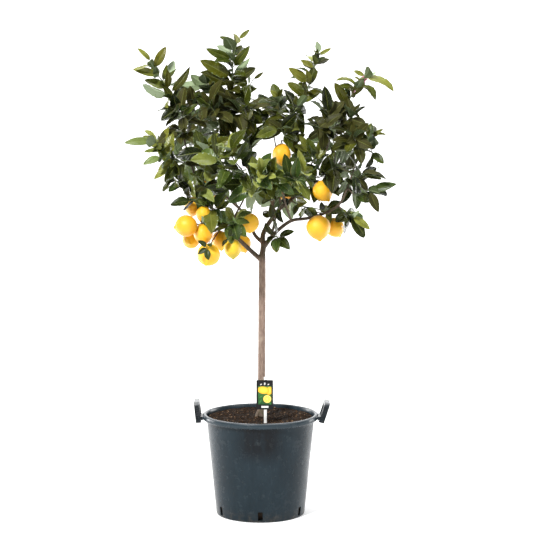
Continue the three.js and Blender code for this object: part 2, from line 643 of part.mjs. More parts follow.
function trunkBar(path, radii) {
  const curve = curveThrough(path.map(toVector));
  const last = radii.length - 1;
  const radiusAt = (share) => {
    const low = Math.min(Math.floor(share * last), last - 1);
    return mix(radii[low], radii[low + 1], share * last - low);
  };
  return bentBar(curve, 0, 1, radiusAt, trunk.sides, last + 2);
}

function flareBar(path, more) {
  const curve = curveThrough(path.map(toVector));
  return bentBar(curve, 0, 1, (share) => mix(flare.top, flare.foot, share) + more, flare.sides, 2);
}

function buildLimbs() {
  const bole = curveThrough(trunk.path.map(toVector));
  const ends = { foot: trunk.radii[0], tip: trunk.radii.at(-1) };
  const limbs = { trunk: branchOf(bole, 0, trunk.path.length + 1, ends) };
  for (const [name, parent, at, further, foot, tip] of limbRows) {
    const curve = curveThrough([pointOn(limbs[parent], at), ...further.map(toVector)]);
    limbs[name] = branchOf(curve, 0, Math.ceil(further.length * 1.2), { foot, tip });
  }
  return limbs;
}

function limbBar(limb) {
  const sides = limb.foot > 5 ? 5 : 3;
  return bentBar(limb.curve, 0, 1, evenTaper(limb.foot, limb.tip), sides, limb.steps);
}

// A fruit's stalk, from the limb to the button that holds the fruit.
function stalkBar(fruit, limb) {
  const { radii, straight, hump } = fruitStalk;
  const start = pointOn(limb, fruit.at);
  const end = fruit.middle.clone().addScaledVector(fruit.axis, -(fruit.half * fruitTop + gap));
  const before = end.clone().addScaledVector(fruit.axis, -straight);
  const over = start.clone().lerp(before, 0.55).setZ(mix(start.z, before.z, 0.5) + hump);
  const curve = curveThrough([start, over, before, end]);
  return bentBar(curve, 0, 1, (share) => radii[Math.round(share * 2)], 3, 2);
}

// ---------- stems ----------

function buildStems(limbs) {
  const stems = [];
  for (const [node, rows] of sprayRows) {
    let main = null;
    for (const [from, at, further, count, size, tips] of rows) {
      const curve = curveThrough([pointOn(from ? limbs[from] : main, at), ...further.map(toVector)]);
      const length = curve.getLength();
      const spur = from && at < 1 ? Math.min(twig.spur / length, 0.3) : 0;
      const start = from ? spur + (spur ? gap : endGap) / length : 0;
      const more = { node, count, size, tips, spur, length, id: stems.length };
      const stem = branchOf(curve, start, further.length, more);
      if (!main) main = stem;
      stems.push(stem);
    }
  }
  return stems;
}

const stemRadius = (share) => mix(twig.foot, twig.tip, share);

function spurBar({ curve, spur }) {
  return bentBar(curve, 0, spur, (share) => stemRadius(share * spur), twig.sides, 1);
}

function stemBar({ curve, from, steps }) {
  return bentBar(curve, from, 1, (share) => stemRadius(mix(from, 1, share)), twig.sides, steps);
}

// Where a leaf is rooted, a little inside both ends of its stem.
function leafFoot(stem, at) {
  const [afterFoot, beforeTip] = twig.bare;
  const least = stem.from + afterFoot / stem.length;
  return pointOn(stem, THREE.MathUtils.clamp(at, least, 1 - beforeTip / stem.length));
}

// ---------- leaves ----------

function ribPoint(leaf, share) {
  const bend = leaf.arch / leaf.length;
  const reach = share * leaf.length * bend;
  return leaf.root.clone()
    .addScaledVector(leaf.along, Math.sin(reach) / bend)
    .addScaledVector(leaf.face, -(1 - Math.cos(reach)) / bend);
}

function faceAt(leaf, share) {
  const turn = share * leaf.arch;
  return leaf.face.clone().multiplyScalar(Math.cos(turn)).addScaledVector(leaf.along, Math.sin(turn));
}

const leafSide = (leaf) => new THREE.Vector3().crossVectors(leaf.along, leaf.face);

// Probe places on a blade: share of the length, share of the half width.
const probes = [
  [0.3, 0], [0.48, 0], [0.66, 0], [0.84, 0], [0.99, 0],
  [0.38, 0.7], [0.38, -0.7], [0.58, 0.8], [0.58, -0.8], [0.78, 0.6], [0.78, -0.6],
];

function probePoints(leaf) {
  const side = leafSide(leaf);
  return probes.map(([share, across]) => {
    const rise = Math.abs(across) * leafShape.fold * leaf.half;
    return ribPoint(leaf, share)
      .addScaledVector(side, across * leaf.half)
      .addScaledVector(faceAt(leaf, share), rise);
  });
}

// A leaf that leaves its stem at a place on it, turned round the stem and opened from it.
function leafOnStem(stem, at, turn, opening, { roll, length, arch, half }) {
  const tangent = stem.curve.getTangent(at);
  const side = sideOf(tangent);
  const other = new THREE.Vector3().crossVectors(tangent, side);
  const outward = side.multiplyScalar(Math.cos(turn)).addScaledVector(other, Math.sin(turn));
  const along = tangent.clone().multiplyScalar(Math.cos(opening)).addScaledVector(outward, Math.sin(opening));
  const facing = tangent.clone().multiplyScalar(Math.sin(opening))
    .addScaledVector(outward, -Math.cos(opening));
  const root = leafFoot(stem, at);
  const away = root.clone().sub(toVector(placing.heart)).normalize();
  facing.multiplyScalar(placing.own).addScaledVector(up, placing.lift).addScaledVector(away, placing.show);
  const face = squareTo(facing, along).applyAxisAngle(along, roll);
  return { root, along, face, length, arch, half: Math.min(half * length, leafShape.widest) };
}

// A leaf from a place on a stem to a tip that is given.
function leafToTip(stem, at, tip, { roll, arch, half }) {
  const root = leafFoot(stem, at);
  const chord = tip.clone().sub(root);
  const length = chord.length() * (arch / 2) / Math.sin(arch / 2);
  const straight = chord.normalize();
  const facing = front.clone().addScaledVector(up, placing.tipLift);
  const face = squareTo(facing, straight).applyAxisAngle(straight, roll);
  const along = straight.clone().multiplyScalar(Math.cos(arch / 2)).addScaledVector(face, Math.sin(arch / 2));
  const raised = face.clone().multiplyScalar(Math.cos(arch / 2))
    .addScaledVector(straight, -Math.sin(arch / 2));
  return { root, along, face: raised, length, arch, half: Math.min(half * length, leafShape.widest) };
}

// How far a leaf stays from everything that is placed, up to a limit that is far enough.
function clearance(leaf, stem, placed) {
  let least = placing.enough;
  for (const point of probePoints(leaf)) {
    for (const other of placed) {
      if (other.owner === stem.id) continue;
      const dx = point.x - other.x;
      const dy = point.y - other.y;
      const dz = point.z - other.z;
      const distance = Math.sqrt(dx * dx + dy * dy + dz * dz) - other.radius;
      if (distance < least) least = distance;
    }
  }
  return least;
}

function clearest(makeLeaf, stem, placed) {
  let best = null;
  let room = -Infinity;
  for (let i = 0; i < placing.tries; i += 1) {
    const leaf = makeLeaf();
    const free = clearance(leaf, stem, placed);
    if (free > room) [best, room] = [leaf, free];
  }
  for (const point of probePoints(best)) placed.push({ ...plain(point), radius: 0, owner: -1 });
  return best;
}

const plain = ({ x, y, z }) => ({ x, y, z });

function markCurve(placed, curve, count, radiusAt, owner) {
  for (let i = 0; i <= count; i += 1) {
    placed.push({ ...plain(curve.getPoint(i / count)), radius: radiusAt(i / count), owner });
  }
}

// What stands before the leaves come: limbs, stems and fruit.
function firstPlaced(limbs, stems, fruits) {
  const placed = [];
  for (const limb of Object.values(limbs)) {
    markCurve(placed, limb.curve, 40, evenTaper(limb.foot, limb.tip), -1);
  }
  for (const stem of stems) markCurve(placed, stem.curve, 12, stemRadius, stem.id);
  for (const fruit of fruits) {
    for (const [shift, share] of [[-0.4, 0.85], [0, 1], [0.4, 0.85]]) {
      const middle = fruit.middle.clone().addScaledVector(fruit.axis, shift * fruit.half);
      placed.push({ ...plain(middle), radius: fruit.radius * share, owner: -1 });
    }
  }
  markOpen(placed, fruits.filter(({ name }) => shown.includes(name)));
  return placed;
}

// Where nothing should hang: through the open places, and before the fruit that shows.
function markOpen(placed, fruits) {
  const eye = toVector(placing.eye);
  for (const [x, z, radius] of openRows) {
    for (const y of placing.openDepths) {
      const middle = eye.clone().lerp(new THREE.Vector3(x, 0, z), 1 - y / eye.y);
      placed.push({ ...plain(middle), radius, owner: -1 });
    }
  }
  for (const { middle, radius } of fruits) {
    for (const before of placing.before) {
      const point = middle.clone().addScaledVector(eye.clone().sub(middle).normalize(), before);
      placed.push({ ...plain(point), radius: radius * 0.8, owner: -1 });
    }
  }
}

function placeLeaves(limbs, stems, fruits) {
  const draw = drawsFrom(placing.seed);
  const between = (low, high) => mix(low, high, draw());
  const drawForm = (roll, turn, length) => ({
    roll: radians(roll + between(-turn, turn)),
    arch: radians(between(...placing.arch)),
    half: between(...leafShape.widthRatio) / 2,
    length,
  });
  const placed = firstPlaced(limbs, stems, fruits);
  const leaves = [];
  for (const stem of stems) {
    for (const [at, x, y, z, roll = 0] of stem.tips) {
      const tip = new THREE.Vector3(x, y, z);
      const make = () => leafToTip(stem, at, tip, drawForm(roll, placing.tipTurn, 0));
      leaves.push({ stem, leaf: clearest(make, stem, placed) });
    }
  }
  for (const stem of stems) {
    stem.lastLeaf = stem.tips.some(([at]) => at > 0.94) ? placing.lastLeaf : 1;
    const startTurn = between(0, 360);
    for (let i = 0; i < stem.count; i += 1) {
      const share = (i + 0.7) / (stem.count + 0.2);
      const at = mix(placing.firstLeaf, stem.lastLeaf, Math.min(share, 1));
      const opening = mix(placing.openHigh, placing.openLow, share);
      const make = () => {
        const turn = startTurn + i * placing.turn + between(-1, 1) * placing.turnJitter;
        const form = drawForm(0, placing.ownTurn, stem.size * between(...placing.lengths));
        return leafOnStem(stem, at, radians(turn), radians(opening + between(-14, 14)), form);
      };
      leaves.push({ stem, leaf: clearest(make, stem, placed) });
    }
  }
  return leaves;
}

// A thin blade that is thickest at its midrib, from a point inside the stem to its tip.
function leafBlade(leaf) {
  const side = leafSide(leaf);
  const wave = leaf.root.x + leaf.root.z;
  const corners = [leaf.root.clone()];
  const small = leaf.length < leafShape.small;
  (small ? leafShape.smallStations : leafShape.stations).forEach(([share, wide], i) => {
    const rib = ribPoint(leaf, share);
    const face = faceAt(leaf, share);
    const edge = (way) => {
      const across = i === 0 ? leafShape.stalk : wide * leaf.half;
      const rise = i === 0 ? 0 : across * (leafShape.fold + leafShape.wave * Math.sin(wave + 2.1 * i + way));
      return rib.clone().addScaledVector(side, way * across).addScaledVector(face, rise);
    };
    corners.push(edge(-1));
    if (i > 0) corners.push(rib.clone());
    corners.push(edge(1), rib.clone().addScaledVector(face, i === 0 ? -2 * leafShape.stalk : -leafShape.rib));
  });
  corners.push(ribPoint(leaf, 1));
  const geometry = new THREE.BufferGeometry().setFromPoints(corners);
  geometry.setIndex(small ? smallBladeFaces : bladeFaces);
  return geometry;
}

// Corners: 0 root; 1 left, 2 right, 3 under; 4 left, 5 rib, 6 right, 7 under; 8 to 11 the same; 12 tip.
const stalkFaces = [
  0, 2, 1, 0, 3, 2, 0, 1, 3,
  1, 5, 4, 1, 2, 5, 2, 6, 5,
  1, 4, 7, 1, 7, 3, 3, 7, 6, 3, 6, 2,
];
const bladeFaces = [
  ...stalkFaces,
  4, 5, 9, 4, 9, 8, 6, 9, 5, 6, 10, 9,
  4, 11, 7, 4, 8, 11, 6, 7, 11, 6, 11, 10,
  8, 9, 12, 9, 10, 12, 8, 12, 11, 10, 11, 12,
];
const smallBladeFaces = [...stalkFaces, 4, 5, 8, 5, 6, 8, 4, 8, 7, 6, 7, 8];

// ---------- fruit ----------

function readFruit([name, limb, at, middle, axis, radius, half]) {
  return { name, limb, at, middle: toVector(middle), axis: toVector(axis).normalize(), radius, half };
}

// A lemon with a short neck at the stalk and a nipple at the tip.
function fruitSolid({ middle, axis, radius, half }) {
  const profile = [
    [0, -half], [0.13 * radius, -0.95 * half], [0.46 * radius, -0.77 * half], [0.9 * radius, -0.38 * half],
    [1.03 * radius, 0.05 * half], [0.87 * radius, 0.5 * half], [0.42 * radius, 0.87 * half], [0, 0.92 * half],
  ];
  const body = turned(profile, 8);
  const turn = new THREE.Quaternion().setFromUnitVectors(new THREE.Vector3(0, 0, -1), axis);
  body.applyQuaternion(turn).translate(middle.x, middle.y, middle.z);
  return solidFrom(body);
}

function budBar(stems, [node, index, at, middle, half]) {
  const stem = stems.filter((each) => each.node === node)[index];
  const curve = curveThrough([leafFoot(stem, at), toVector(middle)]);
  const radii = [1.2, 1.4, half * 0.62, 0.6];
  return bentBar(curve, 0, 1, (share) => radii[Math.round(share * 3)], 3, 3);
}

// ---------- assembly ----------

function boxesTouch(one, other) {
  const [a, b] = [one.boundingBox(), other.boundingBox()];
  return [0, 1, 2].every((i) => a.min[i] <= b.max[i] && b.min[i] <= a.max[i]);
}

function crosses(solid, others) {
  return others.some((other) => boxesTouch(solid, other) && solid.intersect(other).volume() > 0);
}

function sprayParts(stems, leaves, fixed) {
  const parts = new Map(sprayRows.map(([name]) => [name, []]));
  for (const stem of stems) parts.get(stem.node).push(solidFrom(stemBar(stem)));
  for (const row of budRows) parts.get(row[0]).push(solidFrom(budBar(stems, row)));
  for (const { stem, leaf } of leaves) {
    const blade = solidFrom(leafBlade(leaf));
    const others = [...parts].filter(([name]) => name !== stem.node).flatMap(([, solids]) => solids);
    if (!crosses(blade, [...others, ...fixed])) parts.get(stem.node).push(blade);
  }
  return parts;
}

const tree = new THREE.Group();
tree.name = 'potted_lemon_tree';

function addPiece(name, solid, color, roughness) {
  const material = new THREE.MeshStandardMaterial({ color, roughness, metalness: 0 });
  const mesh = new THREE.Mesh(geometryFrom(solid), material);
  mesh.name = name;
  tree.add(mesh);
}

const limbs = buildLimbs();
const stems = buildStems(limbs);
const fruits = fruitRows.map(readFruit);
const { trunk: trunkLimb, ...branches } = limbs;
const bars = [
  trunkBar(trunk.path, trunk.radii), flareBar(flare.path, 0), ...Object.values(branches).map(limbBar),
  ...fruits.map((fruit) => stalkBar(fruit, limbs[fruit.limb])),
  ...stems.filter((stem) => stem.spur > 0).map(spurBar),
];
const wood = joined(bars.map(solidFrom));
const fruitSolids = fruits.map(fruitSolid);
const leaves = placeLeaves(limbs, stems, fruits);
const parts = sprayParts(stems, leaves, [wood, ...fruitSolids]);

addPiece('pot', potSolid(), colours.pot, 0.45);
addPiece('soil', soilSolid(), colours.soil, 0.95);
addPiece('wood', wood, colours.wood, 0.8);
addPiece('label_card', labelCard(), colours.card, 0.4);
addPiece('label_stake', labelStake(), colours.stake, 0.5);
fruits.forEach((fruit, i) => {
  const color = greenest.includes(fruit.name) ? colours.greenLemon : colours.lemon;
  addPiece(fruit.name, fruitSolids[i], color, 0.4);
});
for (const [name, solids] of parts) addPiece(name, joined(solids), colours.leaf, 0.5);

export default tree;
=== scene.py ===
import math
import random

import bmesh
import bpy
import numpy as np
from mathutils import Matrix, Vector, noise


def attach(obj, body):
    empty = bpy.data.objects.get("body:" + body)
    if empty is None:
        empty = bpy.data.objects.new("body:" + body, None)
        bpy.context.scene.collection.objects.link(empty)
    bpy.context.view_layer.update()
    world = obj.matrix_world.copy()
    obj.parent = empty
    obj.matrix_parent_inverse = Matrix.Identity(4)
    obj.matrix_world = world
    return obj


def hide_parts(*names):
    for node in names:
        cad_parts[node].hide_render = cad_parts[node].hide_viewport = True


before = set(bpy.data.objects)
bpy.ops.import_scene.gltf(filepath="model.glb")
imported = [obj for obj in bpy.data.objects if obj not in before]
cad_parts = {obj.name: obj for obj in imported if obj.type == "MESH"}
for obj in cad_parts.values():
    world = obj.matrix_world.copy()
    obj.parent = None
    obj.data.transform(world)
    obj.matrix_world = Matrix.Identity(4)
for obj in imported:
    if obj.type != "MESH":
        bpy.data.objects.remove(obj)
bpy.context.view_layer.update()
# the pieces are worked out in millimetres and made in metres

# the camera, first of all

cameraView = {
    "place": (0.021, -6.2, 1.536),
    "down": 6.21,  # degrees under level
    "lens": 122.66,
    "sensor": 36,
}


def makeCamera():
    data = bpy.data.cameras.new("portraitCamera")
    data.lens = cameraView["lens"]
    data.sensor_width = cameraView["sensor"]
    camera = bpy.data.objects.new("portraitCamera", data)
    camera.location = cameraView["place"]
    camera.rotation_euler = (math.radians(90 - cameraView["down"]), 0, 0)
    bpy.context.collection.objects.link(camera)
    bpy.context.scene.camera = camera


makeCamera()
print("camera set")


# shaders

nodeGrid = {"columns": 12, "wide": 180, "tall": 220}  # how the nodes lie in the editor


class Wire:  # a socket whose sums add their own nodes
    def __init__(self, sheet, socket):
        self.sheet = sheet
        self.socket = socket

    def sum(self, operation, *terms):
        return self.sheet.node("ShaderNodeMath", {"operation": operation}, dict(enumerate(terms)))

    def __add__(self, other): return self.sum("ADD", self, other)
    def __radd__(self, other): return self.sum("ADD", other, self)
    def __sub__(self, other): return self.sum("SUBTRACT", self, other)
    def __rsub__(self, other): return self.sum("SUBTRACT", other, self)
    def __mul__(self, other): return self.sum("MULTIPLY", self, other)
    def __rmul__(self, other): return self.sum("MULTIPLY", other, self)
    def __truediv__(self, other): return self.sum("DIVIDE", self, other)
    def __rtruediv__(self, other): return self.sum("DIVIDE", other, self)
    def __pow__(self, other): return self.sum("POWER", self, other)
    def __rpow__(self, other): return self.sum("POWER", other, self)
    def __abs__(self): return self.sum("ABSOLUTE", self)
    def fraction(self): return self.sum("FRACT", self)

    def ramp(self, low, high, start=0.0, end=1.0):  # smooth step from low to high
        values = {0: self, 1: low, 2: high, 3: start, 4: end}
        return self.sheet.node("ShaderNodeMapRange", {"interpolation_type": "SMOOTHSTEP"}, values)


class Sheet:  # a material, and the nodes that make it
    def __init__(self, name):
        self.material = bpy.data.materials.new(name)
        self.material.use_nodes = True
        self.tree = self.material.node_tree
        self.tree.nodes.clear()

    def node(self, kind, settings=None, values=None, out=0):
        made = self.tree.nodes.new(kind)
        row, column = divmod(len(self.tree.nodes), nodeGrid["columns"])
        made.location = (column * nodeGrid["wide"], -row * nodeGrid["tall"])
        for name, setting in (settings or {}).items():
            if name == "stops":
                self.setStops(made.color_ramp, setting)
            else:
                setattr(made, name, setting)
        for name, value in (values or {}).items():
            if isinstance(value, Wire):
                self.tree.links.new(value.socket, made.inputs[name])
            else:
                made.inputs[name].default_value = value
        return Wire(self, made.outputs[out])

    def setStops(self, ramp, stops):
        while len(ramp.elements) < len(stops):
            ramp.elements.new(0.5)
        for element, (place, color) in zip(ramp.elements, stops):
            element.position = place
            element.color = (*color, 1)

    def blend(self, share, low, high, how="MIX"):  # two colours, mixed
        full = [value if isinstance(value, Wire) else (*value, 1) for value in (low, high)]
        settings = {"data_type": "RGBA", "blend_type": how}
        return self.node("ShaderNodeMix", settings, {0: share, 6: full[0], 7: full[1]}, 2)

    def coats(self, color, *coats):  # colours over a colour, each with its share
        for share, coat in coats:
            color = self.blend(share, color, coat)
        return color

    def colors(self, share, stops):
        return self.node("ShaderNodeValToRGB", {"stops": stops}, {0: share})

    def space(self):
        return self.node("ShaderNodeTexCoord", out="Object")

    def scaled(self, vector, scale):
        return self.node("ShaderNodeVectorMath", {"operation": "MULTIPLY"}, {0: vector, 1: scale})

    def noise(self, vector, scale, detail=3.0, rough=0.5):
        values = {"Vector": vector, "Scale": scale, "Detail": detail, "Roughness": rough}
        return self.node("ShaderNodeTexNoise", None, values)

    def cells(self, vector, scale):
        values = {"Vector": vector, "Scale": scale}
        return self.node("ShaderNodeTexVoronoi", {"feature": "F1"}, values, "Distance")

    def tint(self):  # the three numbers of the colour stored on the mesh
        made = self.node("ShaderNodeAttribute", {"attribute_name": "tint"}, None, "Color")
        return self.split(made)

    def split(self, vector):
        made = self.node("ShaderNodeSeparateXYZ", None, {0: vector})
        return [Wire(self, socket) for socket in made.socket.node.outputs]

    def place(self):  # both numbers of the UV map
        return self.split(self.node("ShaderNodeUVMap", {"uv_map": "flatPlace"}))[:2]

    def bump(self, height, depth, strength=1.0):
        values = {"Strength": strength, "Distance": depth, "Height": height}
        return self.node("ShaderNodeBump", None, values)

    def finish(self, **values):
        named = {name.replace("_", " "): value for name, value in values.items()}
        surface = self.node("ShaderNodeBsdfPrincipled", None, named)
        output = self.tree.nodes.new("ShaderNodeOutputMaterial")
        self.tree.links.new(surface.socket, output.inputs[0])
        return self.material


# the tree's plan, as the solids have it

trunkPlan = {
    "path": [[5, 0, 190], [5, 0, 330], [4, 0, 470], [5, 0, 640], [6, 0, 800], [6, 0, 900]],
    "radii": [13, 15.5, 13.2, 12.6, 12.4, 12],
    "flarePath": [[4, -2, 376], [-10, -9, 352], [-17, -14, 328]],
    "flareRadii": [5.5, 6],
}

placing = {
    "seed": 41,
    "tries": 14,
    "turn": 137.5,  # degrees from one leaf to the next round a stem
    "turnJitter": 40,
    "openLow": 34,  # degrees between leaf and stem, at the stem's tip
    "openHigh": 78,  # and at its foot
    "openJitter": 14,
    "arch": (16, 52),
    "lengths": (0.84, 1.14),  # share of the stem's leaf size
    "widths": (0.38, 0.52),  # share of the length
    "fold": 0.2,
    "widest": 24,  # half width
    "tilt": 0.6,  # a leaf's face follows its stem by this, the sky by lift and the outside by show
    "lift": 0.4,
    "show": 1,
    "heart": (0, 120, 1110),
    "tipLift": 0.55,
    "tipTurn": 28,
    "ownTurn": 35,
    "eye": (21, -6200, 1536),
    "openDepths": (-240, -160, -80, 0, 80, 160, 240),
    "before": (60, 120, 180),  # places kept free in front of a lemon that shows
    "beforeWide": 0.8,
    "lemonBalls": ((-0.4, 0.85), (0, 1), (0.4, 0.85)),  # shift along a lemon, and radius
    "enough": 45,
    "reach": 230,  # what is further off than this can't be in a leaf's way
    "firstLeaf": 0.24,
    "lastLeaf": 0.82,
    "tipLeaf": 0.94,  # a set leaf beyond this is the tip's own
    "footRoom": (4, 2.5),  # from a stem's start and its end
    "gap": 0.4,
    "endGap": 2.8,
    "spur": 26,
    "longestSpur": 0.3,
    "twig": (2.8, 1.8),  # radius at foot and tip
    "taper": 0.7,
}

# name, parent, place on the parent, further points, radius at foot and tip
limbRows = [
  ["leader", "trunk", 1, [[10, 0, 930], [10, 4, 975], [40, 22, 1025], [70, 38, 1060],
    [105, 48, 1085], [130, 46, 1120], [155, 38, 1155], [195, 22, 1200], [225, 6, 1260],
    [240, 0, 1315]], 11, 3],
  ["left", "trunk", 0.96, [[-30, -15, 915], [-70, -40, 955], [-105, -62, 985], [-115, -78, 1025],
    [-150, -92, 1050], [-170, -102, 1085], [-200, -104, 1145], [-225, -96, 1195], [-245, -80, 1260],
    [-265, -62, 1330]], 9, 2.8],
  ["centre", "leader", 0.345, [[25, 62, 1105], [-10, 84, 1145], [-25, 95, 1180], [-30, 92, 1220]],
    4.2, 2.6],
  ["top", "centre", 0.78, [[-50, 86, 1200], [-70, 70, 1240], [-85, 50, 1300], [-95, 35, 1365]], 3.8,
    2.8],
  ["spike", "leader", 0.4, [[65, 8, 1125], [80, -18, 1205], [105, -32, 1295], [130, -36, 1375]],
    4.4, 2.8],
  ["right", "leader", 0.1, [[35, -22, 960], [60, -42, 990], [105, -72, 1025], [155, -100, 1035],
    [205, -120, 1050], [255, -126, 1075], [280, -122, 1110], [300, -110, 1160], [320, -92, 1215],
    [345, -72, 1260]], 8.5, 2.6],
  ["middle", "leader", 0.07, [[35, -12, 960], [45, -24, 1000], [55, -30, 1040], [80, -42, 1085]],
    6.5, 2.8],
  ["parallel", "leader", 0.48, [[125, 82, 1120], [150, 118, 1160], [185, 150, 1220],
    [210, 168, 1280]], 4, 2.6],
  ["rightBack", "parallel", 0.27, [[185, 150, 1130], [245, 206, 1165], [285, 240, 1215]], 3.6, 2.6],
  ["back", "leader", 0.31, [[45, 110, 1080], [55, 186, 1145], [60, 240, 1215], [50, 262, 1285]], 5,
    2.6],
  ["leftBack", "leader", 0.13, [[-20, 22, 970], [-45, 70, 1025], [-100, 130, 1075],
    [-150, 182, 1115], [-195, 224, 1185], [-220, 242, 1260]], 7.5, 2.6],
  ["leftRise", "leftBack", 0.36, [[-85, 112, 1070], [-105, 132, 1130], [-110, 142, 1200],
    [-115, 144, 1270]], 3.6, 2.6],
  ["frontLeft", "left", 0.31, [[-85, -128, 1045], [-55, -180, 1105], [-35, -215, 1160]], 4.4, 2.8],
  ["frontRight", "right", 0.3, [[85, -140, 1085], [75, -190, 1140], [70, -220, 1185]], 4.4, 2.8],
]

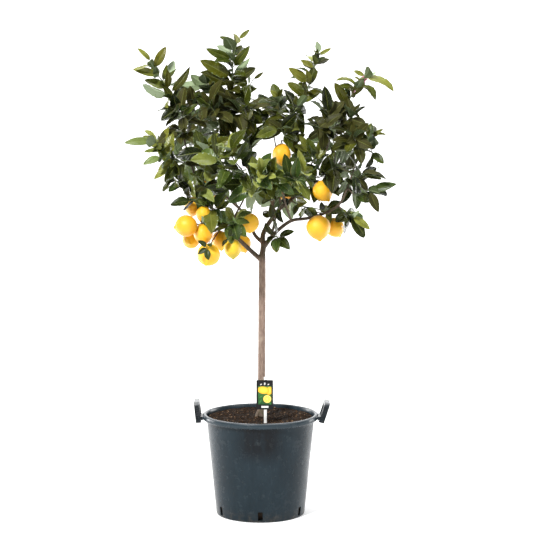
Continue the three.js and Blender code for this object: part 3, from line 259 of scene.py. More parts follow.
# piece, then its stems: limb, place on it, further points, leaves, their length, leaves with a
# set tip. A stem without a limb grows from the piece's first one.
sprayRows = [
  ["left_top", [
    ["left", 1, [[-285, -72, 1405], [-315, -84, 1475], [-345, -90, 1520], [-365, -92, 1560]], 3, 86,
      [[1, -410, -104, 1605], [0.85, -315, -92, 1610], [0.7, -425, -112, 1535],
      [0.47, -390, -62, 1500], [0.4, -390, -150, 1485], [0.46, -310, -110, 1535],
      [0.42, -235, -80, 1545], [0.6, -290, -50, 1565], [0.52, -245, -30, 1510],
      [0.3, -325, -130, 1445]]],
    ["", 0.12, [[-260, -104, 1380], [-280, -122, 1405]], 2, 84, [[1, -330, -150, 1365],
      [0.8, -300, -150, 1360], [0.4, -210, -100, 1420], [0.9, -240, -150, 1410]]]]],
  ["left_mid", [
    ["left", 0.89, [[-295, -96, 1250], [-330, -104, 1270], [-350, -108, 1295]], 3, 88,
      [[1, -455, -128, 1290, 24], [0.95, -390, -90, 1330, 24], [0.95, -275, -84, 1315],
      [0.8, -315, -130, 1235], [0.6, -390, -120, 1260]]]]],
  ["left_rise", [
    ["left", 0.95, [[-230, -44, 1335], [-220, -24, 1385], [-235, -16, 1420]], 5, 86,
      [[1, -280, -6, 1480], [0.8, -245, -60, 1395]]],
    ["", 0.3, [[-255, -92, 1320], [-270, -104, 1335]], 2, 90, [[1, -340, -128, 1290],
      [0.7, -195, -120, 1275], [0.9, -315, -70, 1340]]]]],
  ["left_low", [
    ["left", 0.83, [[-260, -128, 1225], [-295, -150, 1240], [-325, -158, 1245]], 3, 80,
      [[1, -390, -168, 1220], [0.5, -355, -150, 1170], [0.45, -340, -170, 1200],
      [0.2, -280, -146, 1180]]]]],
  ["left_under", [
    ["left", 0.74, [[-240, -128, 1145], [-270, -146, 1160], [-290, -154, 1170]], 1, 84,
      [[1, -325, -170, 1130], [0.9, -310, -150, 1190], [0.5, -255, -170, 1130],
      [0.6, -270, -120, 1200], [0.8, -320, -120, 1160]]]]],
  ["left_inner", [
    ["left", 0.78, [[-190, -140, 1205], [-175, -164, 1240], [-180, -176, 1270]], 6, 92,
      [[0.9, -280, -190, 1245], [1, -95, -190, 1310]]]]],
  ["top_left", [
    ["top", 0.88, [[-125, 60, 1415], [-160, 72, 1455], [-185, 78, 1485]], 6, 96,
      [[1, -290, 80, 1475], [0.9, -240, 70, 1515]]],
    ["", 0.25, [[-150, -20, 1390], [-175, -52, 1420]], 5, 98, []]]],
  ["top_spike", [
    ["top", 1, [[-100, 32, 1450], [-95, 26, 1525], [-90, 22, 1585], [-75, 20, 1635]], 7, 84,
      [[1, -35, 16, 1670], [0.92, -140, 16, 1645], [0.82, -60, 36, 1615], [0.67, -185, -6, 1605],
      [0.56, -35, 0, 1615], [0.43, -205, -10, 1565], [0.47, -35, 56, 1575], [0.36, -15, 46, 1540],
      [0.34, -205, -20, 1525], [0.2, -10, 10, 1470], [0.75, -150, 40, 1615], [0.1, -130, -12, 1440],
      [0.26, -120, -24, 1500]]],
    ["", 0.12, [[-70, 66, 1415], [-45, 84, 1465], [-25, 92, 1500]], 4, 84, [[1, 10, 96, 1525]]],
    ["", 0.06, [[-70, -6, 1390], [-40, -40, 1415]], 5, 88, [[0.3, -55, -50, 1315]]]]],
  ["centre", [
    ["centre", 1, [[-35, 80, 1255], [-40, 70, 1295]], 7, 78, []]]],
  ["left_crown", [
    ["leftRise", 1, [[-135, 150, 1315], [-150, 156, 1360]], 8, 94, []]]],
  ["middle_left", [
    ["spike", 0.72, [[70, 0, 1345], [45, 16, 1375], [20, 24, 1405]], 4, 86, [[1, -10, 30, 1440],
      [0.9, 0, 0, 1385], [0.7, -60, 10, 1360]]],
    ["", 0.3, [[65, -60, 1400], [60, -76, 1440]], 4, 84, [[1, 35, -86, 1465],
      [0.9, 75, -90, 1470]]],
    ["", 0.2, [[105, -76, 1380], [125, -86, 1410]], 5, 84, [[1, 120, -92, 1450],
      [0.8, 85, -100, 1420], [0.5, 145, -106, 1355]]]]],
  ["middle_spike", [
    ["spike", 1, [[150, -38, 1440], [170, -38, 1500], [185, -35, 1550], [195, -33, 1585]], 3, 80,
      [[1, 190, -36, 1630], [0.97, 240, -26, 1605], [0.68, 135, -42, 1565], [0.8, 220, -22, 1575],
      [0.44, 95, -44, 1540], [0.42, 155, -66, 1535], [0.45, 195, -14, 1530], [0.25, 90, -60, 1490],
      [0.33, 130, 0, 1490], [0.17, 205, -50, 1460], [0.72, 175, -60, 1585]]]]],
  ["middle_arch", [
    ["spike", 0.62, [[85, -86, 1310], [65, -116, 1340]], 0, 88, [[1, -15, -140, 1310, -20],
      [0.85, -5, -100, 1335, 20], [0.6, 125, -140, 1295], [0.4, 135, -100, 1330],
      [0.7, 25, -110, 1365], [0.55, 115, -104, 1370]]]]],
  ["flower", [
    ["leader", 1, [[270, -12, 1375], [300, -22, 1430], [325, -27, 1470], [355, -29, 1510]], 3, 84,
      [[0.97, 450, -48, 1460, -24], [0.82, 390, -32, 1430, -10], [0.76, 255, -24, 1495, 24],
      [1, 315, -30, 1530], [0.98, 395, -14, 1530], [0.42, 250, -44, 1490, -20],
      [0.36, 300, 6, 1480]]],
    ["", 0.12, [[290, -48, 1360], [315, -64, 1380]], 4, 88, [[1, 355, -76, 1410],
      [0.7, 355, -96, 1350]]]]],
  ["right_tall", [
    ["leader", 0.93, [[235, -50, 1345], [230, -72, 1385]], 4, 96, [[1, 215, -84, 1480],
      [0.9, 200, -110, 1400]]],
    ["", 0.42, [[208, -86, 1335], [185, -98, 1350]], 2, 80, [[1, 155, -104, 1370],
      [0.8, 195, -110, 1300], [0.5, 160, -70, 1300]]]]],
  ["right_top", [
    ["right", 1, [[360, -66, 1290], [375, -62, 1315]], 3, 80, [[1, 425, -62, 1315, -24],
      [0.9, 400, -90, 1320], [0.7, 375, -40, 1355]]],
    ["", 0.2, [[320, -104, 1290], [310, -120, 1315]], 4, 104, [[0.7, 285, -150, 1260]]],
    ["", 0.1, [[370, -86, 1260], [385, -92, 1250]], 2, 70, [[1, 410, -100, 1230]]]]],
  ["right_side", [
    ["right", 0.76, [[320, -140, 1115], [345, -150, 1130], [370, -154, 1135]], 3, 88,
      [[1, 455, -160, 1155], [0.9, 395, -156, 1060], [0.7, 350, -150, 1090]]],
    ["", 0.42, [[322, -150, 1170], [335, -156, 1190]], 3, 92, [[1, 405, -160, 1170],
      [0.6, 360, -130, 1130]]]]],
  ["right_low", [
    ["right", 0.62, [[285, -158, 1060], [305, -170, 1050]], 2, 80, [[1, 365, -184, 1005],
      [0.9, 350, -178, 980], [0.5, 250, -196, 1030], [0.6, 275, -150, 1070],
      [0.75, 280, -196, 1020]]]]],
  ["over_fruit", [
    ["leader", 0.74, [[200, -34, 1170], [225, -60, 1190], [255, -72, 1210]], 7, 90,
      [[0.5, 265, -120, 1110], [0.2, 180, -90, 1085]]],
    ["", 0.45, [[190, -80, 1220], [165, -90, 1260]], 5, 88, [[1, 115, -100, 1280]]]]],
  ["right_inner", [
    ["leader", 0.5, [[140, -2, 1070], [180, -34, 1065], [220, -58, 1060], [250, -70, 1070]], 1, 66,
      [[0.14, 160, -46, 1085], [0.1, 115, -30, 1040], [0.34, 190, -84, 1030], [0.7, 205, -80, 1090],
      [1, 275, -60, 1090], [0.85, 235, -100, 1015], [0.95, 290, -70, 1050]]]]],
  ["low_pair", [
    ["right", 0.16, [[50, -58, 970], [60, -66, 970]], 0, 80, [[1, 115, -76, 990],
      [0.9, 55, -118, 925], [0.8, 100, -112, 930], [0.5, 25, -104, 950]]]]],
  ["fruit_left", [
    ["left", 0.47, [[-155, -128, 1070], [-170, -146, 1075]], 2, 84, [[0.8, -185, -178, 1010],
      [0.5, -175, -190, 980], [1, -205, -180, 1105], [0.6, -130, -176, 1025]]]]],
  ["fruit_mid", [
    ["left", 0.34, [[-100, -112, 1020], [-85, -132, 1035]], 2, 82, [[1, -25, -150, 1060],
      [0.9, -35, -170, 1025], [0.5, -45, -190, 980], [0.4, -95, -186, 955]]]]],
  ["front_left", [
    ["frontLeft", 1, [[-55, -244, 1200], [-85, -262, 1240], [-100, -268, 1270]], 7, 92, []],
    ["", 0.3, [[-110, -262, 1215], [-145, -280, 1255]], 5, 90, []]]],
  ["front_mid", [
    ["frontLeft", 0.86, [[-15, -250, 1175], [10, -272, 1195]], 8, 88, []]]],
  ["front_right", [
    ["frontRight", 1, [[40, -248, 1175], [5, -268, 1200]], 6, 84, [[1, -40, -286, 1230]]]]],
  ["front_fruit", [
    ["frontRight", 0.85, [[115, -246, 1175], [145, -266, 1195]], 5, 84, [[0.3, 80, -236, 1260],
      [0.5, 125, -282, 1250], [1, 125, -262, 1275]]]]],
  ["back_top", [
    ["back", 1, [[40, 276, 1350], [25, 280, 1400]], 8, 88, []]]],
  ["back_mid", [
    ["back", 0.62, [[80, 290, 1120], [75, 330, 1075]], 8, 90, []]]],
  ["back_low", [
    ["back", 0.5, [[5, 270, 1130], [-25, 316, 1105]], 8, 88, []]]],
  ["back_left_top", [
    ["leftBack", 1, [[-245, 270, 1320], [-260, 280, 1365]], 7, 92, []],
    ["", 0.3, [[-185, 256, 1350], [-190, 258, 1400]], 5, 88, []]]],
  ["back_left_out", [
    ["leftBack", 0.84, [[-205, 310, 1240], [-220, 340, 1290]], 7, 90, []],
    ["", 0.3, [[-255, 320, 1200], [-290, 350, 1210]], 4, 86, []]]],
  ["back_left_low", [
    ["leftBack", 0.7, [[-165, 260, 1125], [-195, 306, 1135]], 8, 90, []]]],
  ["right_back_top", [
    ["rightBack", 1, [[300, 262, 1265], [310, 268, 1315]], 7, 90, []],
    ["", 0.3, [[265, 300, 1270], [250, 326, 1305]], 4, 86, []]]],
  ["right_back_low", [
    ["rightBack", 0.8, [[315, 276, 1170], [330, 310, 1120]], 8, 88, []]]],
  ["parallel", [
    ["parallel", 1, [[225, 182, 1335], [235, 190, 1390]], 8, 90, []]]],
  ["left_cover", [
    ["left", 0.66, [[-205, -142, 1105], [-230, -158, 1100]], 1, 80, [[1, -300, -172, 1085],
      [0.5, -185, -170, 1080], [0.6, -210, -170, 1150]]],
    ["", 0.6, [[-195, -176, 1135], [-175, -188, 1165]], 5, 86, []]]],
  ["core", [
    ["middle", 1, [[75, -62, 1110], [50, -96, 1135], [15, -120, 1155]], 7, 86,
      [[0.2, 90, -90, 1075], [0.4, 5, -130, 1085]]],
    ["", 0.12, [[55, -66, 1060], [35, -74, 1030]], 0, 70, [[1, 35, -92, 1085],
      [0.6, 15, -84, 1050]]]]],
  ["inner_mid", [
    ["leader", 0.36, [[90, 110, 1130], [70, 150, 1180]], 6, 84, []]]],
]

# name, limb, place on it, middle, way from stalk to tip, radius, half length
fruitRows = [
  ["lemon_1", "spike", 0.7, [72, -84, 1250], [0, -0.1, -1], 31, 40],
  ["lemon_2", "leader", 0.78, [212, -72, 1125], [0.5, -0.2, -0.8], 33, 41],
  ["lemon_3", "right", 0.5, [195, -146, 1007], [0.1, -0.15, -1], 39, 46],
  ["lemon_4", "right", 0.57, [252, -76, 1002], [0.5, 0.1, -0.8], 31, 38],
  ["lemon_5", "left", 0.42, [-247, -196, 1018], [-0.95, -0.2, -0.12], 35, 41],
  ["lemon_6", "left", 0.66, [-224, -106, 1076], [-0.2, 0.2, -1], 30, 37],
  ["lemon_7", "left", 0.52, [-190, -152, 1054], [-0.3, -0.2, -1], 24, 30],
  ["lemon_8", "left", 0.49, [-232, -124, 964], [-0.1, -0.9, -0.3], 28, 34],
  ["lemon_9", "left", 0.34, [-190, -170, 988], [0.1, -0.1, -1], 31, 38],
  ["lemon_10", "left", 0.38, [-172, -204, 922], [-0.2, -0.55, -0.8], 38, 41],
  ["lemon_11", "left", 0.33, [-134, -110, 961], [0.1, -0.3, -0.9], 29, 36],
  ["lemon_12", "left", 0.28, [-92, -162, 938], [0.05, -0.15, -1], 28, 36],
  ["lemon_13", "leftBack", 0.36, [-38, -62, 1016], [0.1, -0.5, -0.85], 33, 38],
  ["lemon_14", "left", 0.2, [-60, 4, 940], [0.3, 0, -0.95], 27, 34],
  ["lemon_15", "left", 0.72, [-178, -36, 1126], [0.2, 0.1, -1], 30, 38],
  ["lemon_16", "leader", 0.66, [84, 46, 1118], [0, 0.1, -1], 29, 37],
]

# open places in the crown, seen from the front: left to right, height, half width
openRows = [
  [10, 1480, 25], [170, 1405, 24], [160, 1330, 19], [10, 1265, 20], [325, 1075, 18],
  [-10, 1065, 18], [-365, 1215, 16], [-85, 1220, 16], [-340, 1425, 13], [-395, 1560, 13],
  [-270, 1120, 13], [295, 1075, 12], [380, 1155, 12], [-270, 1440, 12], [-320, 1370, 12],
  [-320, 1570, 12], [-415, 1270, 12], [375, 1205, 12], [350, 1440, 22], [65, 1295, 11],
  [135, 1245, 11], [410, 1275, 26], [350, 1450, 22], [345, 1380, 10], [-355, 1205, 12],
]

# piece, stem in it, place on the stem, middle, half length
budRows = [
  ["flower", 0, 0.97, [364, -36, 1516], 11],
  ["flower", 0, 0.9, [384, -26, 1512], 9],
  ["flower", 0, 0.6, [318, -40, 1462], 8],
]

shown = {"lemon_1", "lemon_2", "lemon_3", "lemon_4", "lemon_5", "lemon_8", "lemon_9",
         "lemon_10", "lemon_12", "lemon_13"}

# curves and turning

up = np.array((0.0, 0.0, 1.0))
front = np.array((0.0, -1.0, 0.0))


def mix(low, high, share):
    return low + (high - low) * share


def unit(vector):
    return vector / math.sqrt(vector @ vector)


def squareTo(vector, way):
    return unit(vector - way * (vector @ way))


def sideOf(way):
    side = np.cross(way, up)
    return unit(side) if math.sqrt(side @ side) >= 0.05 else np.array((1.0, 0.0, 0.0))


def turnedRound(vector, axis, angle):
    return vector * math.cos(angle) + np.cross(axis, vector) * math.sin(angle) \
        + axis * (axis @ vector) * (1 - math.cos(angle))


def around(side, other, turn):
    return side * math.cos(turn) + other * math.sin(turn)


def drawsFrom(seed):  # repeatable draws between two numbers, the same as the solids'
    state = seed
    word = 0xffffffff

    def draw(low, high):
        nonlocal state
        state = (state + 0x6d2b79f5) & word
        t = ((state ^ (state >> 15)) * (1 | state)) & word
        t = ((t + ((t ^ (t >> 7)) * (61 | t) & word)) & word) ^ t
        return mix(low, high, ((t ^ (t >> 14)) & word) / (word + 1))
    return draw


class Branch:  # a smooth curve through points, and the straight stretches its solid has
    def __init__(self, points, start=0.0, steps=1, **more):
        self.points = np.array(points, float)
        self.start = start
        self.steps = steps
        self.bends = [self.at(mix(start, 1, i / steps)) for i in range(steps + 1)]
        self.__dict__.update(more)

    def at(self, share):
        points = self.points
        last = len(points) - 1
        along = last * share
        low = min(int(along), last - 1)
        rest = along - low
        one, two = points[low], points[low + 1]
        before = points[low - 1] if low > 0 else one * 2 - two
        after = points[low + 2] if low + 2 <= last else two * 2 - one
        leave, arrive = 0.5 * (two - before), 0.5 * (after - one)
        bend = -3 * one + 3 * two - 2 * leave - arrive
        cube = 2 * one - 2 * two + leave + arrive
        return one + leave * rest + bend * rest ** 2 + cube * rest ** 3

    def heading(self, share, step=1e-4):
        return unit(self.at(min(share + step, 1)) - self.at(max(share - step, 0)))

    def length(self, steps=200):
        places = np.array([self.at(i / steps) for i in range(steps + 1)])
        return np.sqrt((np.diff(places, axis=0) ** 2).sum(1)).sum()

    def straightAt(self, share):
        along = min(max((share - self.start) / (1 - self.start), 0), 1) * self.steps
        low = min(int(along), self.steps - 1)
        return mix(self.bends[low], self.bends[low + 1], along - low)


def limbRadius(limb, share):
    return mix(limb.foot, limb.tip, share ** placing["taper"])


def twigRadius(share):
    return mix(*placing["twig"], share)


def growLimbs():
    radii = trunkPlan["radii"]
    path = trunkPlan["path"]
    limbs = {"trunk": Branch(path, 0, len(path) + 1, foot=radii[0], tip=radii[-1])}
    for name, parent, at, further, foot, tip in limbRows:
        points = [limbs[parent].straightAt(at), *further]
        steps = math.ceil(len(further) * 1.2)  # as the solid has
        limbs[name] = Branch(points, 0, steps, foot=foot, tip=tip)
    return limbs


def growStems(limbs):
    stems = []
    for node, rows in sprayRows:
        main = None
        for limbName, at, further, count, size, tips in rows:
            source = limbs[limbName] if limbName else main
            points = [source.straightAt(at), *further]
            span = Branch(points).length()
            spur, start = 0, 0
            if limbName:
                if at < 1:
                    spur = min(placing["spur"] / span, placing["longestSpur"])
                start = spur + placing["gap" if spur else "endGap"] / span
            stem = Branch(points, start, len(further), node=node, count=count, size=size, tips=tips,
                          spur=spur, span=span, onLimb=limbName, id=len(stems))
            main = main or stem
            stems.append(stem)
    return stems


def leafFoot(stem, at):
    first, last = placing["footRoom"]
    return stem.straightAt(min(max(at, stem.start + first / stem.span), 1 - last / stem.span))


# leaves, in the places that the solids have

def ribAt(leaf, share):
    turn = share * leaf["arch"]
    reach = leaf["length"] / leaf["arch"]
    return leaf["root"] + leaf["along"] * math.sin(turn) * reach \
        - leaf["face"] * (1 - math.cos(turn)) * reach


def faceAt(leaf, share):
    turn = share * leaf["arch"]
    return leaf["face"] * math.cos(turn) + leaf["along"] * math.sin(turn)


probes = [(0.3, 0), (0.48, 0), (0.66, 0), (0.84, 0), (0.99, 0), (0.38, 0.7), (0.38, -0.7),
          (0.58, 0.8), (0.58, -0.8), (0.78, 0.6), (0.78, -0.6)]  # along and across a leaf


def probePoints(leaf):
    side = np.cross(leaf["along"], leaf["face"])
    half = leaf["half"]
    return np.array([ribAt(leaf, share) + side * (across * half)
                     + faceAt(leaf, share) * (abs(across) * placing["fold"] * half)
                     for share, across in probes])


def leafOnStem(stem, at, turn, opening, form):
    way = stem.heading(at)
    side = sideOf(way)
    outward = side * math.cos(turn) + np.cross(way, side) * math.sin(turn)
    along = way * math.cos(opening) + outward * math.sin(opening)
    facing = way * math.sin(opening) - outward * math.cos(opening)
    root = leafFoot(stem, at)
    away = unit(root - np.array(placing["heart"]))
    facing = facing * placing["tilt"] + up * placing["lift"] + away * placing["show"]
    face = turnedRound(squareTo(facing, along), along, form["roll"])
    length = form["length"]
    return {"root": root, "along": along, "face": face, "length": length, "arch": form["arch"],
            "half": min(form["half"] * length, placing["widest"])}


def leafToTip(stem, at, tip, form):
    root = leafFoot(stem, at)
    chord = np.array(tip, float) - root
    arch = form["arch"]
    length = math.sqrt(chord @ chord) * (arch / 2) / math.sin(arch / 2)
    straight = unit(chord)
    face = turnedRound(squareTo(front + up * placing["tipLift"], straight), straight, form["roll"])
    along = straight * math.cos(arch / 2) + face * math.sin(arch / 2)
    raised = face * math.cos(arch / 2) - straight * math.sin(arch / 2)
    return {"root": root, "along": along, "face": raised, "length": length, "arch": arch,
            "half": min(form["half"] * length, placing["widest"])}


class Room:  # what stands already, to place a leaf where there's room for it
    def __init__(self):
        self.rows = []
        self.table = np.zeros((0, 5))

    def add(self, place, radius, owner):
        self.rows.append((*place, radius, owner))

    def settle(self):
        if self.rows:
            self.table = np.vstack([self.table, np.array(self.rows)])
            self.rows = []

    def clearest(self, makeLeaf, owner, near, tries=placing["tries"]):
        self.settle()
        apart = np.sqrt(((self.table[:, :3] - near) ** 2).sum(1)) - self.table[:, 3]
        table = self.table[(self.table[:, 4] != owner) & (apart < placing["reach"])]
        places, radii = table[:, :3], table[:, 3]
        best, most = None, -math.inf
        for _ in range(tries):
            leaf = makeLeaf()
            free = placing["enough"]
            if len(table):
                apart = probePoints(leaf)[:, None, :] - places[None]
                apart = np.sqrt(np.einsum("ijk,ijk->ij", apart, apart)) - radii[None]
                free = min(free, apart.min())
            if free > most:
                best, most = leaf, free
        for place in probePoints(best):
            self.add(place, 0, -1)
        return best, most


def keepOpen(room, rows):
    eye = np.array(placing["eye"], float)
    for x, z, radius in rows:
        for y in placing["openDepths"]:
            room.add(mix(eye, np.array((x, 0, z)), 1 - y / eye[1]), radius, -1)


def firstRoom(limbs, stems):
    room = Room()
    for limb in limbs.values():
        for i in range(41):
            room.add(limb.at(i / 40), limbRadius(limb, i / 40), -1)
    for stem in stems:
        for i in range(13):
            room.add(stem.at(i / 12), twigRadius(i / 12), stem.id)
    for _, _, _, middle, axis, radius, half in fruitRows:
        for shift, share in placing["lemonBalls"]:
            way = unit(np.array(axis, float))
            room.add(np.array(middle) + way * shift * half, radius * share, -1)
    keepOpen(room, openRows)
    eye = np.array(placing["eye"], float)
    for name, _, _, middle, _, radius, _ in fruitRows:
        if name in shown:
            way = unit(eye - np.array(middle))
            for before in placing["before"]:
                room.add(np.array(middle) + way * before, radius * placing["beforeWide"], -1)
    return room


def drawForm(draw, roll, turn):
    return {"roll": math.radians(roll + draw(-turn, turn)),
            "arch": math.radians(draw(*placing["arch"])), "half": draw(*placing["widths"]) / 2}


def placeLeaves(limbs, stems):
    draw = drawsFrom(placing["seed"])
    room = firstRoom(limbs, stems)
    leaves = []

    def put(stem, at, makeLeaf, kind):
        leaf, _ = room.clearest(makeLeaf, stem.id, leafFoot(stem, at))
        leaf.update(stem=stem, at=at, kind=kind)
        leaves.append(leaf)

    for stem in stems:
        for at, x, y, z, *roll in stem.tips:
            def makeLeaf():
                form = drawForm(draw, roll[0] if roll else 0, placing["tipTurn"])
                return leafToTip(stem, at, (x, y, z), form)
            put(stem, at, makeLeaf, "set")
    for stem in stems:
        tipped = any(at > placing["tipLeaf"] for at, *_ in stem.tips)
        startTurn = draw(0, 360)
        for i in range(stem.count):
            share = (i + 0.7) / (stem.count + 0.2)
            at = mix(placing["firstLeaf"], placing["lastLeaf"] if tipped else 1, min(share, 1))
            opening = mix(placing["openHigh"], placing["openLow"], share)

            def makeLeaf():
                jitter = draw(-1, 1) * placing["turnJitter"]
                turn = math.radians(startTurn + i * placing["turn"] + jitter)
                length = stem.size * draw(*placing["lengths"])
                form = drawForm(draw, 0, placing["ownTurn"]) | {"length": length}
                spread = placing["openJitter"]
                opened = math.radians(opening + draw(-spread, spread))
                return leafOnStem(stem, at, turn, opened, form)
            put(stem, at, makeLeaf, "ruled")
    return leaves, room


# more leaves than the solids have, in the room that is left among them

filling = {
    "seed": 170,
    "share": 0.66,  # of a stem's own leaves
    "set": 0.5,  # and of those with a set tip
    "more": 2,
    "tries": 9,
    "places": (0.12, 0.97),  # on the stem
    "turn": 35,
    "opening": (30, 88),
    "sizes": (0.62, 1.0),
    "least": 1.5,  # clearance, millimetres
    "openRows": [(225, 1540, 24), (200, 1485, 14), (-400, 1510, 10), (320, 1070, 14),
        (375, 1245, 10), (-35, 1215, 12), (-340, 1600, 10), (-320, 1365, 15), (-285, 1350, 18),
        (-365, 1215, 12), (-325, 1565, 14), (65, 1290, 14), (170, 1085, 12), (355, 1055, 12),
        (160, 1150, 14), (140, 1125, 12), (-230, 1390, 12), (-10, 1440, 14), (190, 1170, 12),
        (130, 1240, 12), (-95, 1495, 10)],
}


def fillLeaves(stems, leaves, room):
    draw = drawsFrom(filling["seed"])
    keepOpen(room, filling["openRows"])
    for stem in stems:
        own, tipped = stem.count * filling["share"], len(stem.tips) * filling["set"]
        count = round(own + tipped + filling["more"])
        for i in range(count):
            at = mix(*filling["places"], (i + draw(0, 1)) / count)

            def makeLeaf():
                form = drawForm(draw, 0, filling["turn"])
                form["length"] = stem.size * draw(*filling["sizes"])
                turn, opening = draw(0, 2 * math.pi), math.radians(draw(*filling["opening"]))
                return leafOnStem(stem, at, turn, opening, form)
            leaf, free = room.clearest(makeLeaf, stem.id, leafFoot(stem, at), filling["tries"])
            if free > filling["least"]:
                leaf.update(stem=stem, at=at, kind="filling")
                leaves.append(leaf)


limbs = growLimbs()
stems = growStems(limbs)
leaves, room = placeLeaves(limbs, stems)
fillLeaves(stems, leaves, room)
print("leaves placed:", len(leaves))

# leaves that stand out, by piece: stem in it, place on the stem, degrees of roll, half width as a
# share of the length, tone from dark to young, hue from brown to blue-green
standOutRows = {
  "left_top": [(0, 1, 0, 0.14, 0.56, 0.3), (0, 0.85, 10, 0.17, 0.36, 0.1),
    (0, 0.7, -10, 0.15, 0.5, 0.3), (0, 0.47, 0, 0.2, 0.44, 0.6), (0, 0.4, 180, 0.24, 0.6, 0.9),
    (0, 0.46, 30, 0.16, 0.24, 0.05), (0, 0.42, 40, 0.105, 0.22, 0.15), (0, 0.6, 170, 0.2, 0.8, 0.9),
    (0, 0.52, 150, 0.14, 0.7, 0.9), (0, 0.3, 20, 0.2, 0.16, 0.8), (1, 1, -10, 0.24, 0.06, 0.6),
    (1, 0.8, 10, 0.2, 0.02, 0.6), (1, 0.4, 0, 0.15, 0.44, 0.7), (1, 0.9, 0, 0.2, 0.2, 1)],
  "top_spike": [(0, 1, 20, 0.13, 0.5, 0.45), (0, 0.92, 0, 0.15, 0.34, 0.55),
    (0, 0.67, -35, 0.14, 0.38, 0.6), (0, 0.56, 25, 0.15, 0.34, 0.5),
    (0, 0.43, -15, 0.19, 0.36, 0.2), (0, 0.47, 160, 0.16, 0.5, 0.9), (0, 0.36, 10, 0.2, 0.12, 0.3),
    (0, 0.34, 0, 0.22, 0.16, 0.2), (0, 0.2, -10, 0.22, 0.26, 0.3), (0, 0.75, 150, 0.18, 0.7, 0.8),
    (0, 0.1, 0, 0.26, 0.06, 0.1), (0, 0.26, 10, 0.24, 0.12, 0.15), (2, 0.3, 0, 0.26, 0.08, 0.15),
    (1, 1, 30, 0.14, 0.6, 0.3)],
  "top_left": [(0, 1, 160, 0.17, 0.5, 1), (0, 0.9, 170, 0.24, 0.4, 1)],
  "middle_spike": [(0, 1, 150, 0.24, 0.6, 1), (0, 0.97, 20, 0.14, 0.56, 0.4),
    (0, 0.68, 0, 0.18, 0.5, 0.05), (0, 0.8, 0, 0.18, 0.3, 0.8), (0, 0.44, 0, 0.18, 0.46, 0.15),
    (0, 0.42, 20, 0.17, 0.4, 0.2), (0, 0.45, -20, 0.17, 0.36, 0.7), (0, 0.25, 5, 0.22, 0.4, 0.3),
    (0, 0.17, -10, 0.15, 0.5, 0.5)],
  "right_tall": [(0, 1, 0, 0.19, 0.04, 0.5), (0, 0.9, 10, 0.19, 0.1, 0.4)],
  "flower": [(0, 0.42, 0, 0.19, 0.4, 0.15), (0, 0.76, 30, 0.19, 0.5, 0.4),
    (0, 0.97, -26, 0.17, 0.6, 0.45), (0, 0.82, -28, 0.2, 0.36, 0.6), (0, 1, 0, 0.17, 0.62, 0.35),
    (0, 0.98, 150, 0.17, 0.9, 0.9), (0, 0.36, 0, 0.16, 0.16, 0.9), (1, 1, -25, 0.16, 0.12, 0.8),
    (1, 0.7, 0, 0.24, 0.03, 0.2)],
  "right_top": [(0, 1, -10, 0.13, 0.52, 0.3), (1, 0.7, 0, 0.24, 0.42, 0.2),
    (2, 1, 0, 0.22, 0.4, 0.9)],
  "right_side": [(0, 1, 10, 0.17, 0.3, 0.9), (0, 0.9, 10, 0.18, 0.08, 0.2),
    (1, 1, -10, 0.17, 0.42, 0.4)],
  "right_low": [(0, 1, 10, 0.17, 0.62, 0.5), (0, 0.9, 10, 0.17, 0.08, 0.6),
    (0, 0.5, 20, 0.18, 0.05, 0.6), (0, 0.75, 0, 0.16, 0.06, 0.5)],
  "over_fruit": [(0, 0.5, 0, 0.2, 0.06, 0.3), (1, 1, 0, 0.2, 0.5, 0.35)],
  "left_cover": [(0, 1, 0, 0.23, 0.08, 0.8)],
  "left_mid": [(0, 1, -10, 0.12, 0.5, 0.8), (0, 0.6, 0, 0.15, 0.5, 0.7)],
  "left_low": [(0, 0.5, -10, 0.13, 0.62, 0.5), (0, 1, 0, 0.16, 0.5, 0.9),
    (0, 0.45, 0, 0.18, 0.58, 0.4)],
  # fruit_mid's tones are raised as a painted highlight
  "fruit_mid": [(0, 1, -30, 0.19, 0.24, 0.8), (0, 0.9, 0, 0.18, 0.26, 0.8),
    (0, 0.5, 0, 0.2, 0.2, 0.8), (0, 0.4, 0, 0.19, 0.24, 0.8)],
  "fruit_left": [(0, 0.8, 0, 0.2, 0.3, 0.6), (0, 0.5, 0, 0.18, 0.08, 0.7)],
  "low_pair": [(0, 1, 0, 0.2, 0.22, 0.8), (0, 0.9, 20, 0.22, 0.24, 0.9),
    (0, 0.8, 10, 0.22, 0.2, 0.7)],
  "middle_arch": [(0, 1, -10, 0.2, 0.4, 0.4), (0, 0.55, 0, 0.2, 0.2, 0.3)],
  "middle_left": [(0, 1, 170, 0.14, 0.5, 1)],
  "front_fruit": [(0, 0.3, 0, 0.17, 0.1, 0.8), (0, 0.5, 0, 0.22, 0.2, 1),
    (0, 1, 0, 0.16, 0.5, 0.4)],
  "right_inner": [(0, 0.1, 0, 0.2, 0.3, 0.5)],
}
